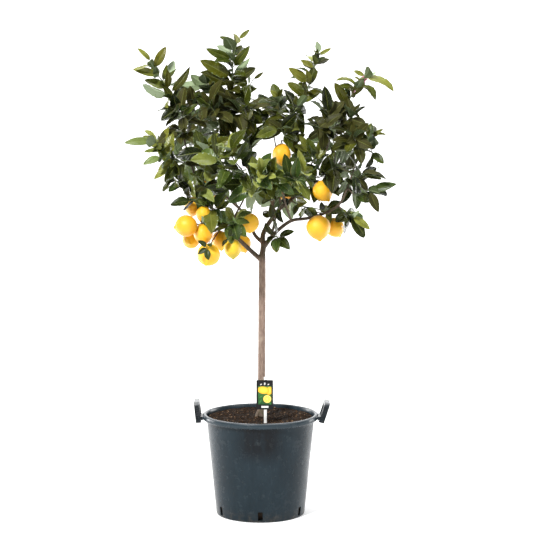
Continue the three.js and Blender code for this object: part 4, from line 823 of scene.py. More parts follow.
# more such leaves, in this order, with the tip's place before the roll
moreRows = [
  ("top_spike", [(0, 0.06, -155, -30, 1405, 0, 0.26, 0.06, 0.1),
    (0, 0.08, -50, -20, 1395, 10, 0.26, 0.1, 0.2), (0, 0.22, -165, -50, 1465, 10, 0.26, 0.08, 0.1),
    (0, 0.3, -70, -50, 1455, 0, 0.24, 0.14, 0.2), (2, 0.6, -20, -60, 1360, 0, 0.22, 0.1, 0.3),
    (2, 0.1, -115, -30, 1355, 0, 0.24, 0.06, 0.1), (2, 0.9, -10, -50, 1420, 0, 0.22, 0.2, 0.3),
    (0, 0.4, -60, -20, 1495, 0, 0.18, 0.2, 0.5)]),
  ("top_left", [(1, 0.5, -225, -60, 1455, 0, 0.2, 0.3, 0.7),
    (1, 1, -200, -80, 1460, 0, 0.2, 0.14, 0.1)]),
  ("middle_left", [(0, 0.3, 25, -30, 1335, 0, 0.2, 0.3, 0.4)]),
  ("middle_spike", [(0, 0.1, 145, -60, 1310, 20, 0.17, 0.3, 0.4)]),
  ("over_fruit", [(0, 0.98, 240, -122, 1120, 0, 0.23, 0.04, 0.3)]),
  ("fruit_left", [(0, 0.9, -160, -215, 995, 0, 0.26, 0.34, 0.3),
    (0, 0.6, -190, -200, 1030, 150, 0.2, 0.5, 0.9)]),
  ("right_low", [(0, 0.95, 250, -190, 1030, 0, 0.24, 0.1, 0.3)]),
  ("over_fruit", [(1, 0.95, 130, -95, 1315, 0, 0.17, 0.5, 0.35)]),
  ("right_low", [(0, 0.2, 235, -150, 1055, 0, 0.2, 0.08, 0.6)]),
  ("left_under", [(0, 0.6, -305, -176, 1130, 0, 0.24, 0.2, 1)]),
  ("left_top", [(0, 0.2, -290, -130, 1455, 0, 0.2, 0.1, 0.9)]),
  ("right_top", [(0, 0.3, 315, -110, 1255, 0, 0.2, 0.1, 0.4),
    (0, 0.8, 415, -66, 1335, 0, 0.13, 0.5, 0.4)]),
  ("fruit_mid", [(0, 0.7, -75, -200, 970, 0, 0.24, 0.04, 0.9)]),
  ("flower", [(0, 0.9, 315, -40, 1510, 0, 0.13, 0.6, 0.4)]),
  ("top_left", [(1, 0.3, -215, -30, 1420, 0, 0.26, 0.04, 0.05),
    (1, 0.2, -85, -20, 1315, 0, 0.24, 0.04, 0.1)]),
  ("left_rise", [(0, 0.9, -205, -20, 1465, 0, 0.22, 0.08, 0.1),
    (0, 0.5, -180, -40, 1340, 0, 0.24, 0.04, 0.05)]),
  ("flower", [(1, 0.4, 350, -60, 1345, 10, 0.26, 0.02, 0.2)]),
  ("right_tall", [(0, 0.6, 205, -90, 1390, 0, 0.26, 0.02, 0.2)]),
]
# leaves that arch over more than the others, degrees
archRows = {("flower", 0.76): 100, ("flower", 0.97): 72, ("flower", 0.82): 95,
            ("left_top", 0.42): 70}
# more leaves of the usual look: stem in the piece, place on it, tip's x, y and z, roll, half width
plainRows = {
  "back_left_out": [(1, 0.45, -264, 322, 1119, 10, 0.22)],
  "centre": [(0, 0.6, 7, 88, 1343, -10, 0.2)],
  "flower": [(0, 0.75, 257, -40, 1476, 20, 0.18), (0, 1, 313, -30, 1445, -10, 0.2),
    (1, 0.45, 252, -26, 1430, 0, 0.22), (1, 0.75, 338, -52, 1420, 0, 0.16)],
  "front_left": [(1, 1, -68, -301, 1258, 0, 0.16)],
  "front_mid": [(0, 0.15, -122, -198, 1154, -20, 0.22), (0, 0.15, -104, -242, 1098, -20, 0.22)],
  "front_right": [(0, 1, 38, -308, 1266, -20, 0.22)],
  "fruit_left": [(0, 0.15, -76, -139, 1017, 20, 0.2)],
  "fruit_mid": [(0, 0.15, -162, -77, 985, 20, 0.16)],
  "left_crown": [(0, 0.75, -107, 118, 1267, -20, 0.22)],
  "left_low": [(0, 0.45, -318, -177, 1162, -20, 0.22), (0, 0.75, -291, -129, 1323, -20, 0.22)],
  "left_mid": [(0, 0.6, -394, -97, 1313, 0, 0.18), (0, 0.9, -306, -139, 1215, -10, 0.22)],
  "left_rise": [(0, 0.75, -237, -46, 1480, -10, 0.22)],
  "left_top": [(0, 0.3, -329, -92, 1486, 10, 0.16), (0, 0.3, -264, -64, 1487, 10, 0.18),
    (0, 0.6, -311, -100, 1552, 10, 0.12)],
  "left_under": [(0, 0.15, -297, -105, 1195, -10, 0.2), (0, 0.9, -227, -146, 1129, 0, 0.2)],
  "middle_arch": [(0, 0.15, 152, -64, 1317, 10, 0.22), (0, 0.3, 160, -41, 1246, 20, 0.2),
    (0, 0.75, 8, -125, 1301, 10, 0.18), (0, 0.9, 128, -142, 1392, 10, 0.22)],
  "middle_spike": [(0, 0.15, 150, -34, 1499, 20, 0.16), (0, 0.3, 205, -67, 1461, 20, 0.18),
    (0, 0.75, 165, -34, 1480, -10, 0.2), (0, 0.75, 193, -60, 1603, 10, 0.16)],
  "over_fruit": [(1, 0.15, 250, -77, 1257, 20, 0.18), (1, 0.6, 103, -71, 1249, -20, 0.2),
    (1, 0.75, 156, -103, 1308, 10, 0.22), (1, 0.9, 91, -118, 1226, 0, 0.16)],
  "right_back_low": [(0, 0.45, 331, 245, 1242, 0, 0.2), (0, 1, 291, 303, 1055, 0, 0.18)],
  "right_inner": [(0, 0.75, 273, -91, 1090, -20, 0.2)],
  "right_low": [(0, 0.9, 347, -157, 974, 10, 0.18)],
  "right_side": [(1, 1, 408, -178, 1183, -20, 0.2)],
  "right_tall": [(0, 0.15, 172, -10, 1358, -10, 0.22)],
  "right_top": [(1, 0.75, 361, -154, 1357, 0, 0.22), (1, 0.75, 375, -146, 1275, 20, 0.22),
    (2, 0.6, 414, -115, 1220, 0, 0.22)],
  "top_spike": [(1, 0.75, -109, 48, 1521, -20, 0.2), (2, 0.45, -117, -8, 1468, -10, 0.22)],
}
# filling leaves that would close a gap: stem in the piece, place on it
leftOutRows = {
  "back_left_top": [(0, 0.926)],
  "flower": [(0, 0.388)],
  "left_top": [(0, 0.514)],
  "left_under": [(0, 0.384)],
  "middle_arch": [(0, 0.746)],
  "middle_spike": [(0, 0.794)],
  "right_tall": [(1, 0.847)],
  "right_top": [(1, 0.922), (2, 0.509)],
  "top_spike": [(0, 0.771), (0, 0.925), (1, 0.944)],
}


noting = {
    "arch": 30,  # degrees, of the leaves that are added
    "near": 0.0006,  # a place on the stem is taken for another within this
}


def stemOf(node, index):
    return [stem for stem in stems if stem.node == node][index]


def setLeaf(stem, at, tip, arch, roll, half, **look):
    leaf = leafToTip(stem, at, tip, {"roll": math.radians(roll), "arch": arch, "half": half})
    leaf.update(stem=stem, at=at, **look)
    return leaf


def noteLeaves():
    arch = math.radians(noting["arch"])
    for node, rows in standOutRows.items():
        for index, at, roll, half, tone, hue in rows:
            stem, wanted = stemOf(node, index), archRows.get((node, at))
            for i, leaf in enumerate(leaves):
                if leaf["stem"] is stem and leaf["at"] == at and leaf["kind"] == "set":
                    bent = math.radians(wanted) if wanted else leaf["arch"]
                    leaves[i] = setLeaf(stem, at, ribAt(leaf, 1), bent, roll, half,
                                        kind="noted", tone=tone, hue=hue)
    for node, rows in moreRows:
        for index, at, x, y, z, roll, half, tone, hue in rows:
            leaves.append(setLeaf(stemOf(node, index), at, (x, y, z), arch, roll, half,
                                  kind="noted", tone=tone, hue=hue))
    for node, rows in plainRows.items():
        for index, at, x, y, z, roll, half in rows:
            leaves.append(setLeaf(stemOf(node, index), at, (x, y, z), arch, roll, half,
                                  kind="plain"))


def isLeftOut(leaf):
    if leaf["kind"] != "filling":
        return False
    node = leaf["stem"].node
    return any(leaf["stem"] is stemOf(node, index) and abs(leaf["at"] - at) < noting["near"]
               for index, at in leftOutRows.get(node, []))


noteLeaves()


# meshes

class Sketch:  # places with a flat place and a tint, faces with a finish, gathered into one mesh
    def __init__(self):
        self.places, self.flat, self.tints, self.faces, self.finishes = [], [], [], [], []

    def add(self, places, faces, finish=0, flat=None, tint=(0.5, 0.5, 0.5)):
        first = len(self.places)
        self.places.extend(map(tuple, places))
        self.flat.extend(flat if flat is not None else [(0.0, 0.5)] * len(places))
        self.tints.extend([tint] * len(places))
        self.faces.extend([tuple(corner + first for corner in face) for face in faces])
        self.finishes.extend(finish if isinstance(finish, list) else [finish] * len(faces))

    def piece(self, name, materials, sharp=50):
        mesh = bpy.data.meshes.new(name)
        places = [tuple(0.001 * value for value in place) for place in self.places]
        mesh.from_pydata(places, [], self.faces)
        for material in materials:
            mesh.materials.append(material)
        mesh.polygons.foreach_set("material_index", self.finishes)
        corners = np.zeros(len(mesh.loops), np.int32)
        mesh.loops.foreach_get("vertex_index", corners)
        layer = mesh.uv_layers.new(name="flatPlace")
        layer.data.foreach_set("uv", np.array(self.flat, np.float32)[corners].ravel())
        tint = mesh.color_attributes.new("tint", "FLOAT_COLOR", "POINT")
        tints = np.array([(*value, 1) for value in self.tints], np.float32)
        tint.data.foreach_set("color", tints.ravel())
        mesh.shade_smooth()
        mesh.set_sharp_from_angle(angle=math.radians(sharp))
        mesh.update()
        piece = bpy.data.objects.new(name, mesh)
        bpy.context.collection.objects.link(piece)
        return piece


def wallFaces(rings, sides):  # between rings of places, one above the other
    faces = []
    for low in range(0, (rings - 1) * sides, sides):
        for j in range(sides):
            k = (j + 1) % sides
            faces.append((low + j, low + k, low + sides + k, low + sides + j))
    return faces


def ringFaces(rings, sides):  # the same with both ends closed
    ends = range(sides - 1, -1, -1), range((rings - 1) * sides, rings * sides)
    return wallFaces(rings, sides) + [tuple(end) for end in ends]


def turns(sides):  # the angles of a ring's places
    return [2 * math.pi * j / sides for j in range(sides)]


def tube(places, radii, sides):  # rings round a row of places
    places = [np.array(place, float) for place in places]
    way = unit(places[1] - places[0])
    side = sideOf(way)
    rings = []
    for i, place in enumerate(places):
        way = unit(places[min(i + 1, len(places) - 1)] - places[max(i - 1, 0)])
        side = squareTo(side, way)
        other = np.cross(way, side)
        rings += [place + around(side, other, turn) * radii[i] for turn in turns(sides)]
    return rings, ringFaces(len(places), sides)


# leaves

leafForm = {
    "petiole": 0.12,  # share of the length
    "rows": 13,
    "spacing": (0.012, 0.965, 0.92),  # first row, how far the others reach, how they crowd
    "narrowest": 0.04,
    "columns": (-1, -0.72, -0.4, -0.09, 0, 0.09, 0.4, 0.72, 1),
    "roundBase": 0.62,  # lower: rounder
    "pointedTip": 0.86,  # lower: blunter
    "bend": (6, 34),  # degrees that each half is raised from the midrib
    "wave": (0.17, 6.6),  # height and rate along the leaf
    "ripple": (0.06, 31),
    "thick": 0.5,
    "rib": (1.1, 0.75),  # depth, and how much of it is lost towards the tip
    "groove": 0.3,
    "curl": 0.22,  # how far the margins turn back down
    "twist": 16,  # degrees over the length, at most
    "stalk": (1.25, 0.85),
    "broad": 1.09,  # wider than the plain solids' straight-edged blades
}


def leafWidth(share):
    base, tip = leafForm["roundBase"], leafForm["pointedTip"]
    widest = base / (base + tip)
    most = widest ** base * (1 - widest) ** tip
    return share ** base * (1 - share) ** tip / most


def bladeFaces(rows, wide):  # faces on top and under, and which places the underside has of its own
    lower, end = {}, rows * wide
    inner = [(i, j) for i in range(rows) for j in range(1, wide - 1)]
    for i in range(rows):
        lower[i, 0], lower[i, wide - 1] = i * wide, i * wide + wide - 1
    for number, spot in enumerate(inner):
        lower[spot] = end + 1 + number
    faces = []
    for i in range(rows - 1):
        for j in range(wide - 1):
            a, d = i * wide + j, (i + 1) * wide + j
            faces.append((a, a + 1, d + 1, d))
            faces.append((lower[i, j + 1], lower[i, j], lower[i + 1, j], lower[i + 1, j + 1]))
    last = rows - 1
    for j in range(wide - 1):
        faces.append((last * wide + j, last * wide + j + 1, end))
        faces.append((lower[last, j + 1], lower[last, j], end))
    finishes = [0, 1] * (len(faces) // 2) + [2]
    faces.append(tuple([lower[0, j] for j in range(wide)] + list(range(wide - 2, 0, -1))))
    return faces, finishes, [i * wide + j for i, j in inner]


def drawLeaf(sketch, leaf, chance):
    form = leafForm
    stem = leaf["stem"]
    side = np.cross(leaf["along"], leaf["face"])
    shift = stem.at(leaf["at"]) - leaf["root"] if leaf["at"] > stem.start else np.zeros(3)
    phase = leaf["root"][0] + leaf["root"][2]
    twist = math.radians(chance.uniform(-form["twist"], form["twist"]))
    ripples = chance.uniform(0, 6.3)
    spread, raised = math.cos(leaf["bent"]), math.sin(leaf["bent"])

    def frameAt(share):
        rib = ribAt(leaf, share) + shift * (1 - share) ** 2
        face, turn = faceAt(leaf, share), twist * share
        return rib, around(face, side, turn), side * math.cos(turn) - face * math.sin(turn)

    rows, columns = form["rows"], form["columns"]
    first, reach, crowd = form["spacing"]
    top, under, flat = [], [], []
    for i in range(rows):
        share = first + (i / rows) ** crowd * reach
        whole = mix(form["petiole"], 1, share)
        rib, face, across = frameAt(whole)
        half = leaf["half"] * form["broad"] * max(leafWidth(share), form["narrowest"])
        for column in columns:
            far = abs(column)
            way = -1 if column < 0 else 1
            wave = form["wave"][0] * math.sin(phase + form["wave"][1] * whole - 0.5 + way)
            ripple = form["ripple"][0] * math.sin(ripples + form["ripple"][1] * share + 2 * way)
            rise = far * (raised + wave + ripple * far) - form["curl"] * far ** 3 * (raised + 0.2)
            high = rise * half - (0 if column else form["groove"])
            top.append(rib + across * (column * half * spread) + face * high)
            depth = form["thick"] * min(1, half / 5)
            if column == 0:
                depth = form["rib"][0] * (1 - form["rib"][1] * share)
            under.append(top[-1] - face * depth)
            flat.append((share, 0.5 + 0.5 * column))
    faces, finishes, inner = leafFaces
    places = top + [ribAt(leaf, 1.0)] + [under[spot] for spot in inner]
    flat = flat + [(1.0, 0.5)] + [flat[spot] for spot in inner]
    sketch.add(places, faces, finishes, flat, (leaf["tone"], leaf["hue"], leaf["age"]))
    stalk = []
    for share in (0, 0.05, 0.1, form["petiole"] + 0.03):
        rib, face, _ = frameAt(share)
        stalk.append(rib - face * 0.5)
    rings, faces = tube(stalk, [mix(*form["stalk"], i / 3) for i in range(4)], 6)
    sketch.add(rings, faces, 2, None, (leaf["tone"] * 0.5 + 0.3, leaf["hue"], 0))


leafFaces = bladeFaces(leafForm["rows"], len(leafForm["columns"]))

leafFinish = {
    "deep": (0.005, 0.0075, 0.0008),
    "green": (0.046, 0.058, 0.005),
    "olive": (0.175, 0.185, 0.032),
    "young": (0.30, 0.34, 0.10),
    "dull": (0.034, 0.032, 0.002),
    "cool": (0.70, 1.06, 2.4),  # turns a green towards blue
    "warm": (1.22, 0.94, 0.7),  # and towards brown
    "patches": 0.007,  # size of the patches of one hue, per millimetre
    "vein": (0.24, 0.27, 0.06),
    "speck": (0.11, 0.07, 0.02),
    "worn": (0.20, 0.14, 0.04),  # margins of old leaves
    "under": [(0.05, (0.045, 0.066, 0.020)), (0.4, (0.115, 0.155, 0.065)),
              (0.9, (0.34, 0.41, 0.27))],
    "underVein": (0.26, 0.32, 0.17),
    "rough": 0.15,
    "pairs": 9,  # side veins on each half
    "twig": [(0.0, (0.045, 0.040, 0.018)), (0.35, (0.035, 0.052, 0.016)),
             (0.7, (0.085, 0.115, 0.030)), (1.0, (0.19, 0.23, 0.07))],
    "cork": (0.20, 0.19, 0.11),  # pale streaks on a twig
    "bud": [(0.0, (0.10, 0.16, 0.05)), (0.22, (0.30, 0.10, 0.14)), (0.6, (0.42, 0.10, 0.20)),
            (1.0, (0.72, 0.45, 0.52))],
}


def veins(sheet):
    along, across = sheet.place()
    out = abs(across - 0.5) * 2.0  # 0 at the midrib, 1 at the margin
    slanted = along * leafFinish["pairs"] - out * 1.7 - out * out * 0.6
    near = abs(slanted.fraction() - 0.5) * 2.0  # 1 on a side vein
    side = near.ramp(0.78, 1.0) * out.ramp(1.0, 0.62) * along.ramp(0.0, 0.08)
    rib = out.ramp(0.10, 0.03)
    return out, near, side, rib


def leafTopFinish():
    sheet = Sheet("leafTop")
    out, near, side, rib = veins(sheet)
    tone, hue, age = sheet.tint()
    space = sheet.space()
    cloud = sheet.noise(space, 38.0, 4.0, 0.6)
    fine = sheet.noise(space, 420.0, 2.0)
    shade = tone + (cloud - 0.5) * 0.35
    color = sheet.colors(shade, [(0.0, leafFinish["deep"]), (0.32, leafFinish["green"]),
                                 (0.62, leafFinish["olive"]), (1.0, leafFinish["young"])])
    cool = sheet.blend(1.0, color, leafFinish["cool"], "MULTIPLY")
    warm = sheet.blend(1.0, color, leafFinish["warm"], "MULTIPLY")
    dull = tone.ramp(0.2, 0.02) * hue.ramp(0.45, 0.15)
    specks = sheet.cells(space, 130.0).ramp(0.16, 0.08) * age.ramp(0.55, 0.9)
    worn = age.ramp(0.7, 1.0) * out.ramp(0.8, 1.0) * cloud.ramp(0.5, 0.62)
    color = sheet.coats(
        color,
        (hue.ramp(0.5, 1.0) * tone.ramp(0.75, 0.5) * 0.9, cool),
        (hue.ramp(0.45, 0.0) * tone.ramp(0.6, 0.3), warm),
        (dull * 0.8, leafFinish["dull"]))
    veinShade = sheet.blend(0.36, color, leafFinish["vein"])
    color = sheet.coats(color, (side * 0.3, veinShade), (rib * 0.7, veinShade),
                        # painted highlight: the margin is paler, for rim light along it
                        (out.ramp(0.93, 1.0) * 0.4, leafFinish["vein"]),
                        (specks * 0.7, leafFinish["speck"]), (worn * 0.8, leafFinish["worn"]))
    height = near.ramp(0.0, 1.0) * -0.4 + rib * -0.45 + fine * 0.1 + cloud * 1.3
    rough = cloud * 0.16 + fine * 0.05 + leafFinish["rough"] + worn * 0.25 + dull * 0.4
    return sheet.finish(Base_Color=color, Roughness=rough, Normal=sheet.bump(height, 0.0011, 0.8),
                        Specular_IOR_Level=0.2)


def leafUnderFinish():
    sheet = Sheet("leafUnder")
    _, _, side, rib = veins(sheet)
    tone = sheet.tint()[0]
    space = sheet.space()
    cloud = sheet.noise(space, 45.0, 3.0)
    pores = sheet.noise(space, 900.0, 1.0)
    color = sheet.colors(tone + cloud * 0.2, leafFinish["under"])
    color = sheet.blend(side * 0.45 + rib * 0.5, color, leafFinish["underVein"])
    height = side * 0.7 + rib + pores * 0.12 + cloud * 0.2
    return sheet.finish(Base_Color=color, Roughness=cloud * 0.15 + 0.5,
                        Normal=sheet.bump(height, 0.0005, 0.7), Specular_IOR_Level=0.22)


def twigFinish():
    sheet = Sheet("greenTwig")
    tone = sheet.tint()[0]
    space = sheet.space()
    streak = sheet.noise(space, 260.0, 3.0)
    patch = sheet.noise(space, 55.0, 2.0)
    color = sheet.colors(tone + (patch - 0.5) * 0.3, leafFinish["twig"])
    color = sheet.blend(streak.ramp(0.56, 0.7) * 0.5, color, leafFinish["cork"])
    return sheet.finish(Base_Color=color, Roughness=patch * 0.2 + 0.42,
                        Normal=sheet.bump(streak + patch, 0.0004, 0.8))


def budFinish():
    sheet = Sheet("flowerBud")
    along = sheet.place()[0]
    space = sheet.space()
    cloud = sheet.noise(space, 300.0, 2.0)
    color = sheet.colors(along + (cloud - 0.5) * 0.4, leafFinish["bud"])
    return sheet.finish(Base_Color=color, Roughness=cloud * 0.2 + 0.4, Subsurface_Weight=0.15,
                        Normal=sheet.bump(cloud, 0.0003, 0.6))


# buds: closed flowers on short stalks

budForm = {
    "stalk": (0.75, 0.9),  # radius, and length for a bud's half length of 1
    "rows": 8,
    "sides": 8,
    "long": 1.5,
    "wide": 0.42,
    "lobes": (5, 0.08),
}


def drawBud(sketch, foot, way, half):
    side = sideOf(way)
    other = np.cross(way, side)
    radius, stalk = budForm["stalk"]
    stalk *= half
    rings, faces = tube([foot, foot + way * stalk * 0.5, foot + way * stalk], [radius] * 3, 5)
    sketch.add(rings, faces, 2, None, (0.7, 0.5, 0))
    places, flat = [], []
    rows, sides = budForm["rows"], budForm["sides"]
    count, depth = budForm["lobes"]
    for i in range(rows):
        share = i / (rows - 1)
        swell = math.sin(math.pi * min(share * 0.92 + 0.08, 1)) ** 0.7 + 0.05
        middle = foot + way * (stalk + share * half * budForm["long"])
        for j, turn in enumerate(turns(sides)):
            lobe = 1 + depth * math.cos(count * turn + 2 * share)
            wide = half * budForm["wide"] * swell
            places.append(middle + around(side, other, turn) * wide * lobe)
            flat.append((share, j / sides))
    sketch.add(places, ringFaces(rows, sides), 3, flat, (0.5, 0.5, 0))


stemForm = {
    "step": 9,  # millimetres along a stem
    "sides": 8,
    "sunk": 4,  # how far a stem goes into its woody foot
    "thin": (0.86, 0.15),  # thinner than the solid, by a share and by millimetres
    "swell": (0.16, 5),  # at a leaf: height and length
    "tip": 0.7,
}


def drawStem(sketch, stem, chance):
    count = max(8, round(stem.span / stemForm["step"]))
    first = max(stem.spur - stemForm["sunk"] / stem.span, 0) if stem.onLimb else 0
    shares = [mix(first, 1, i / count) for i in range(count + 1)]
    nodes = [leaf["at"] for leaf in leaves if leaf["stem"] is stem]
    thin, less = stemForm["thin"]
    high, long = stemForm["swell"]
    radii = []
    for share in shares:
        swell = sum(math.exp(-((share - at) * stem.span / long) ** 2) for at in nodes)
        radii.append((twigRadius(share) * thin - less) * (1 + high * min(swell, 1.4)))
    radii[-1] *= stemForm["tip"]
    tone = mix(0.25, 0.75, chance.random())
    rings, faces = tube([stem.at(share) for share in shares], radii, stemForm["sides"])
    first = len(sketch.places)
    sketch.add(rings, faces, 2)
    sketch.tints[first:] = [(tone + 0.35 * (share - 0.5), 0.5, 0)
                            for share in shares for _ in range(stemForm["sides"])]


shootForm = {
    "radii": (1.5, 1.0),
    "arch": (20, 45),
    "half": (0.2, 0.26),
    "tone": (0.02, 0.2),
    "hue": 0.8,
    "bent": 0.3,
}


def drawShoot(sketch, points, tips, chance):
    span = Branch(points).length()
    shoot = Branch(points, 0, len(points), span=span)
    shares = [i / 8 for i in range(9)]
    radii = [mix(*shootForm["radii"], share) for share in shares]
    rings, faces = tube([shoot.at(share) for share in shares], radii, 6)
    sketch.add(rings, faces, 2, None, (0.4, 0.5, 0))
    for at, x, y, z, roll in tips:
        arch = math.radians(chance.uniform(*shootForm["arch"]))
        half = chance.uniform(*shootForm["half"])
        tone, age = chance.uniform(*shootForm["tone"]), chance.random()
        leaf = setLeaf(shoot, at, (x, y, z), arch, roll, half, tone=tone, age=age,
                       hue=shootForm["hue"], bent=shootForm["bent"])
        drawLeaf(sketch, leaf, chance)


# what the plain solids leave out: short leafy shoots by piece, with points and the leaves' tips,
# and small buds
shootRows = [
  ["fruit_left", [[-167, -196, 966], [-170, -228, 962], [-176, -248, 950]],
    [[0.9, -205, -262, 975, 0], [1, -170, -256, 910, 10], [0.95, -205, -258, 930, -20],
    [0.5, -160, -256, 955, 0]]],
  ["fruit_mid", [[-100, -186, 985], [-104, -196, 978]], [[1, -125, -204, 950, 40],
    [0.8, -95, -200, 1010, 0]]],
  ["low_pair", [[52, -64, 972], [66, -76, 962]], [[1, 90, -96, 990, 0], [0.8, 35, -96, 940, 0]]],
]
smallBuds = [
  ["flower", 0, 0.98, [345, -44, 1510], 8],
  ["flower", 0, 0.93, [360, -40, 1485], 6],
  ["flower", 0, 0.78, [325, -44, 1480], 5],
  ["flower", 0, 0.7, [320, -46, 1460], 6],
]


# where the crown is darker or lighter than elsewhere; the lighter patches are painted light,
# lifting leaves that lie in shade in the crown. x, z, reach, change of tone, change of hue
toneAndPaintedLightPatches = [
  [-190, 1380, 130, -0.36, -0.6], [240, 1365, 145, -0.4, -0.5], [290, 1215, 100, -0.2, -0.3],
  [345, 1165, 80, -0.16, 0], [-85, 1050, 130, 0.4, 0], [-45, 1195, 90, 0.14, 0],
  [75, 1185, 110, 0.12, 0.2], [60, 995, 90, 0.24, 0], [-275, 1385, 45, -0.2, 0.5],
  [-60, 1390, 60, -0.2, -0.3], [-100, 1540, 75, -0.16, 0.25], [-332, 1255, 70, 0.22, 0],
  [-332, 1165, 60, -0.16, 0], [80, 1400, 90, -0.12, 0],
]


def toneAndPaintedLightShift(leaf):
    x, _, z = leaf["root"]
    toneAndPaintedLight, hueShift = 0, 0
    for px, pz, reach, tone, hue in toneAndPaintedLightPatches:
        share = max(0, 1 - ((x - px) ** 2 + (z - pz) ** 2) / reach ** 2)
        toneAndPaintedLight += share * tone
        hueShift += share * hue
    return toneAndPaintedLight, hueShift


leafAges = {
    "outer": (0.75, 0.13, 0.02),  # where a stem's outer part starts, young leaves there and inside
    "young": (0.55, 0.75),  # tone
    "grown": (-0.17, 0.8, 0.05),  # least, most and usual tone
    "height": (1080, 450),  # from where, and over how many millimetres, the crown gets lighter: partly younger leaves, partly painted light from above
    "lighter": (0.2, -0.04),
    "hue": (0.62, -0.4, 0.5, 0.35),  # low in the crown, change to its top, patches, chance
    "darkest": (-0.1, 0.36),  # in a patch that is darker than this, the most tone
    "noted": 0.4,  # share of a patch's tone that a noted leaf takes
}


def tintLeaves(chance):
    outer, youngOut, youngIn = leafAges["outer"]
    low, rise = leafAges["height"]
    base, change, patchy, spread = leafAges["hue"]
    for leaf in leaves:
        high = min(max((leaf["root"][2] - low) / rise, 0), 1)
        near = noise.noise(Vector(leaf["root"]) * leafFinish["patches"])
        young = chance.random() < (youngOut if leaf["at"] > outer else youngIn)
        if young:
            tone = chance.uniform(*leafAges["young"])
        else:
            # lighter with height: partly younger leaves, partly painted light from above
            tone = chance.triangular(*leafAges["grown"]) + leafAges["lighter"][0] * high \
                + leafAges["lighter"][1]
        hue = base + change * high + patchy * near + chance.uniform(-spread, spread)
        # tone from the patches, partly painted light
        toneAndPaintedLight, hueShift = toneAndPaintedLightShift(leaf)
        if toneAndPaintedLight < leafAges["darkest"][0] or leaf["kind"] == "plain":
            tone = min(tone, leafAges["darkest"][1])
        if leaf["kind"] == "noted":
            leaf["tone"] += toneAndPaintedLight * leafAges["noted"]
        else:
            leaf["tone"] = tone + toneAndPaintedLight
        leaf.setdefault("hue", min(max(hue + hueShift, 0), 1))
        leaf["age"] = 0 if young else chance.random()
        leaf["bent"] = math.radians(chance.uniform(*leafForm["bend"]))


def drawSprays(materials):
    chance = random.Random(17)
    tintLeaves(chance)
    leaves[:] = [leaf for leaf in leaves if not isLeftOut(leaf)]
    for name, _ in sprayRows:
        sketch = Sketch()
        own = [stem for stem in stems if stem.node == name]
        for stem in own:
            drawStem(sketch, stem, chance)
        for leaf in leaves:
            if leaf["stem"] in own:
                drawLeaf(sketch, leaf, chance)
        for piece, points, tips in shootRows:
            if piece == name:
                drawShoot(sketch, points, tips, chance)
        for piece, index, at, middle, half in budRows + smallBuds:
            if piece == name:
                foot = own[index].at(at)
                drawBud(sketch, foot, unit(np.array(middle, float) - foot), half)
        piece = sketch.piece("leaves_" + name, materials)
        node = "spray_" + name
        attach(piece, "root")
        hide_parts(node)


drawSprays([leafTopFinish(), leafUnderFinish(), twigFinish(), budFinish()])
print("sprays made")


# wood: trunk, root flare, limbs, fruit stalks and the sprays' woody feet, grown together

woodForm = {
    "grain": 1.7,  # size of the mesh's cells, millimetres
    "soften": 3,
    "sides": 14,
    "bark": 0.45,  # height of the ridges, millimetres
    "knots": 0.7,  # share of that
    "stalk": (3.0, 2.4, 2.2, 2.6, 4.6),  # a fruit stalk's radii, and where along it they are
    "stalkAt": (0, 0.3, 0.75, 0.92, 1),
    "old": [(0.25, (0.10, 0.062, 0.046)), (0.5, (0.218, 0.152, 0.118)),
            (0.75, (0.345, 0.27, 0.215))],
    "green": [(0.25, (0.018, 0.011, 0.006)), (0.5, (0.046, 0.031, 0.016)),
              (0.78, (0.12, 0.095, 0.050))],
    "pale": (0.33, 0.28, 0.22),
    "grit": (0.035, 0.022, 0.014),
    "foot": (0.085, 0.060, 0.042),
    "moss": (0.055, 0.075, 0.018),
}


def sampled(curve, count, radiusAt):  # places and radii along a curve
    return [(curve.at(i / count), float(radiusAt(i / count))) for i in range(count + 1)]


def woodRuns():
    plan = trunkPlan
    spots = range(len(plan["radii"]))
    runs = [sampled(Branch(plan["path"]), 60,
                    lambda share: np.interp(share * spots[-1], spots, plan["radii"])),
            sampled(Branch(plan["flarePath"]), 10, lambda share: mix(*plan["flareRadii"], share))]
    for name, limb in limbs.items():
        if name != "trunk":
            count = max(10, round(limb.length() / 12))
            runs.append(sampled(limb, count, lambda share: limbRadius(limb, share)))
    for _, limbName, at, middle, axis, _, half in fruitRows:
        axis = unit(np.array(axis, float))
        start = limbs[limbName].straightAt(at)
        end = np.array(middle) - axis * (half * 0.94 + placing["gap"])
        before = end - axis * 9
        bend = mix(start, before, 0.55)
        bend[2] = mix(start[2], before[2], 0.5) + 3
        stalk = Branch([start, bend, before, end])
        runs.append(sampled(stalk, 16, lambda share: np.interp(share, woodForm["stalkAt"],
                                                               woodForm["stalk"])))
    for stem in stems:
        if stem.spur:
            shares = [stem.spur * i / 6 for i in range(7)]
            runs.append([(stem.at(share), twigRadius(share) * (1.25 - 0.04 * i))
                         for i, share in enumerate(shares)])
    return runs


def shapedMesh(piece):  # its mesh as the modifiers make it
    bpy.context.view_layer.update()
    shaped = piece.evaluated_get(bpy.context.evaluated_depsgraph_get())
    return bpy.data.meshes.new_from_object(shaped)


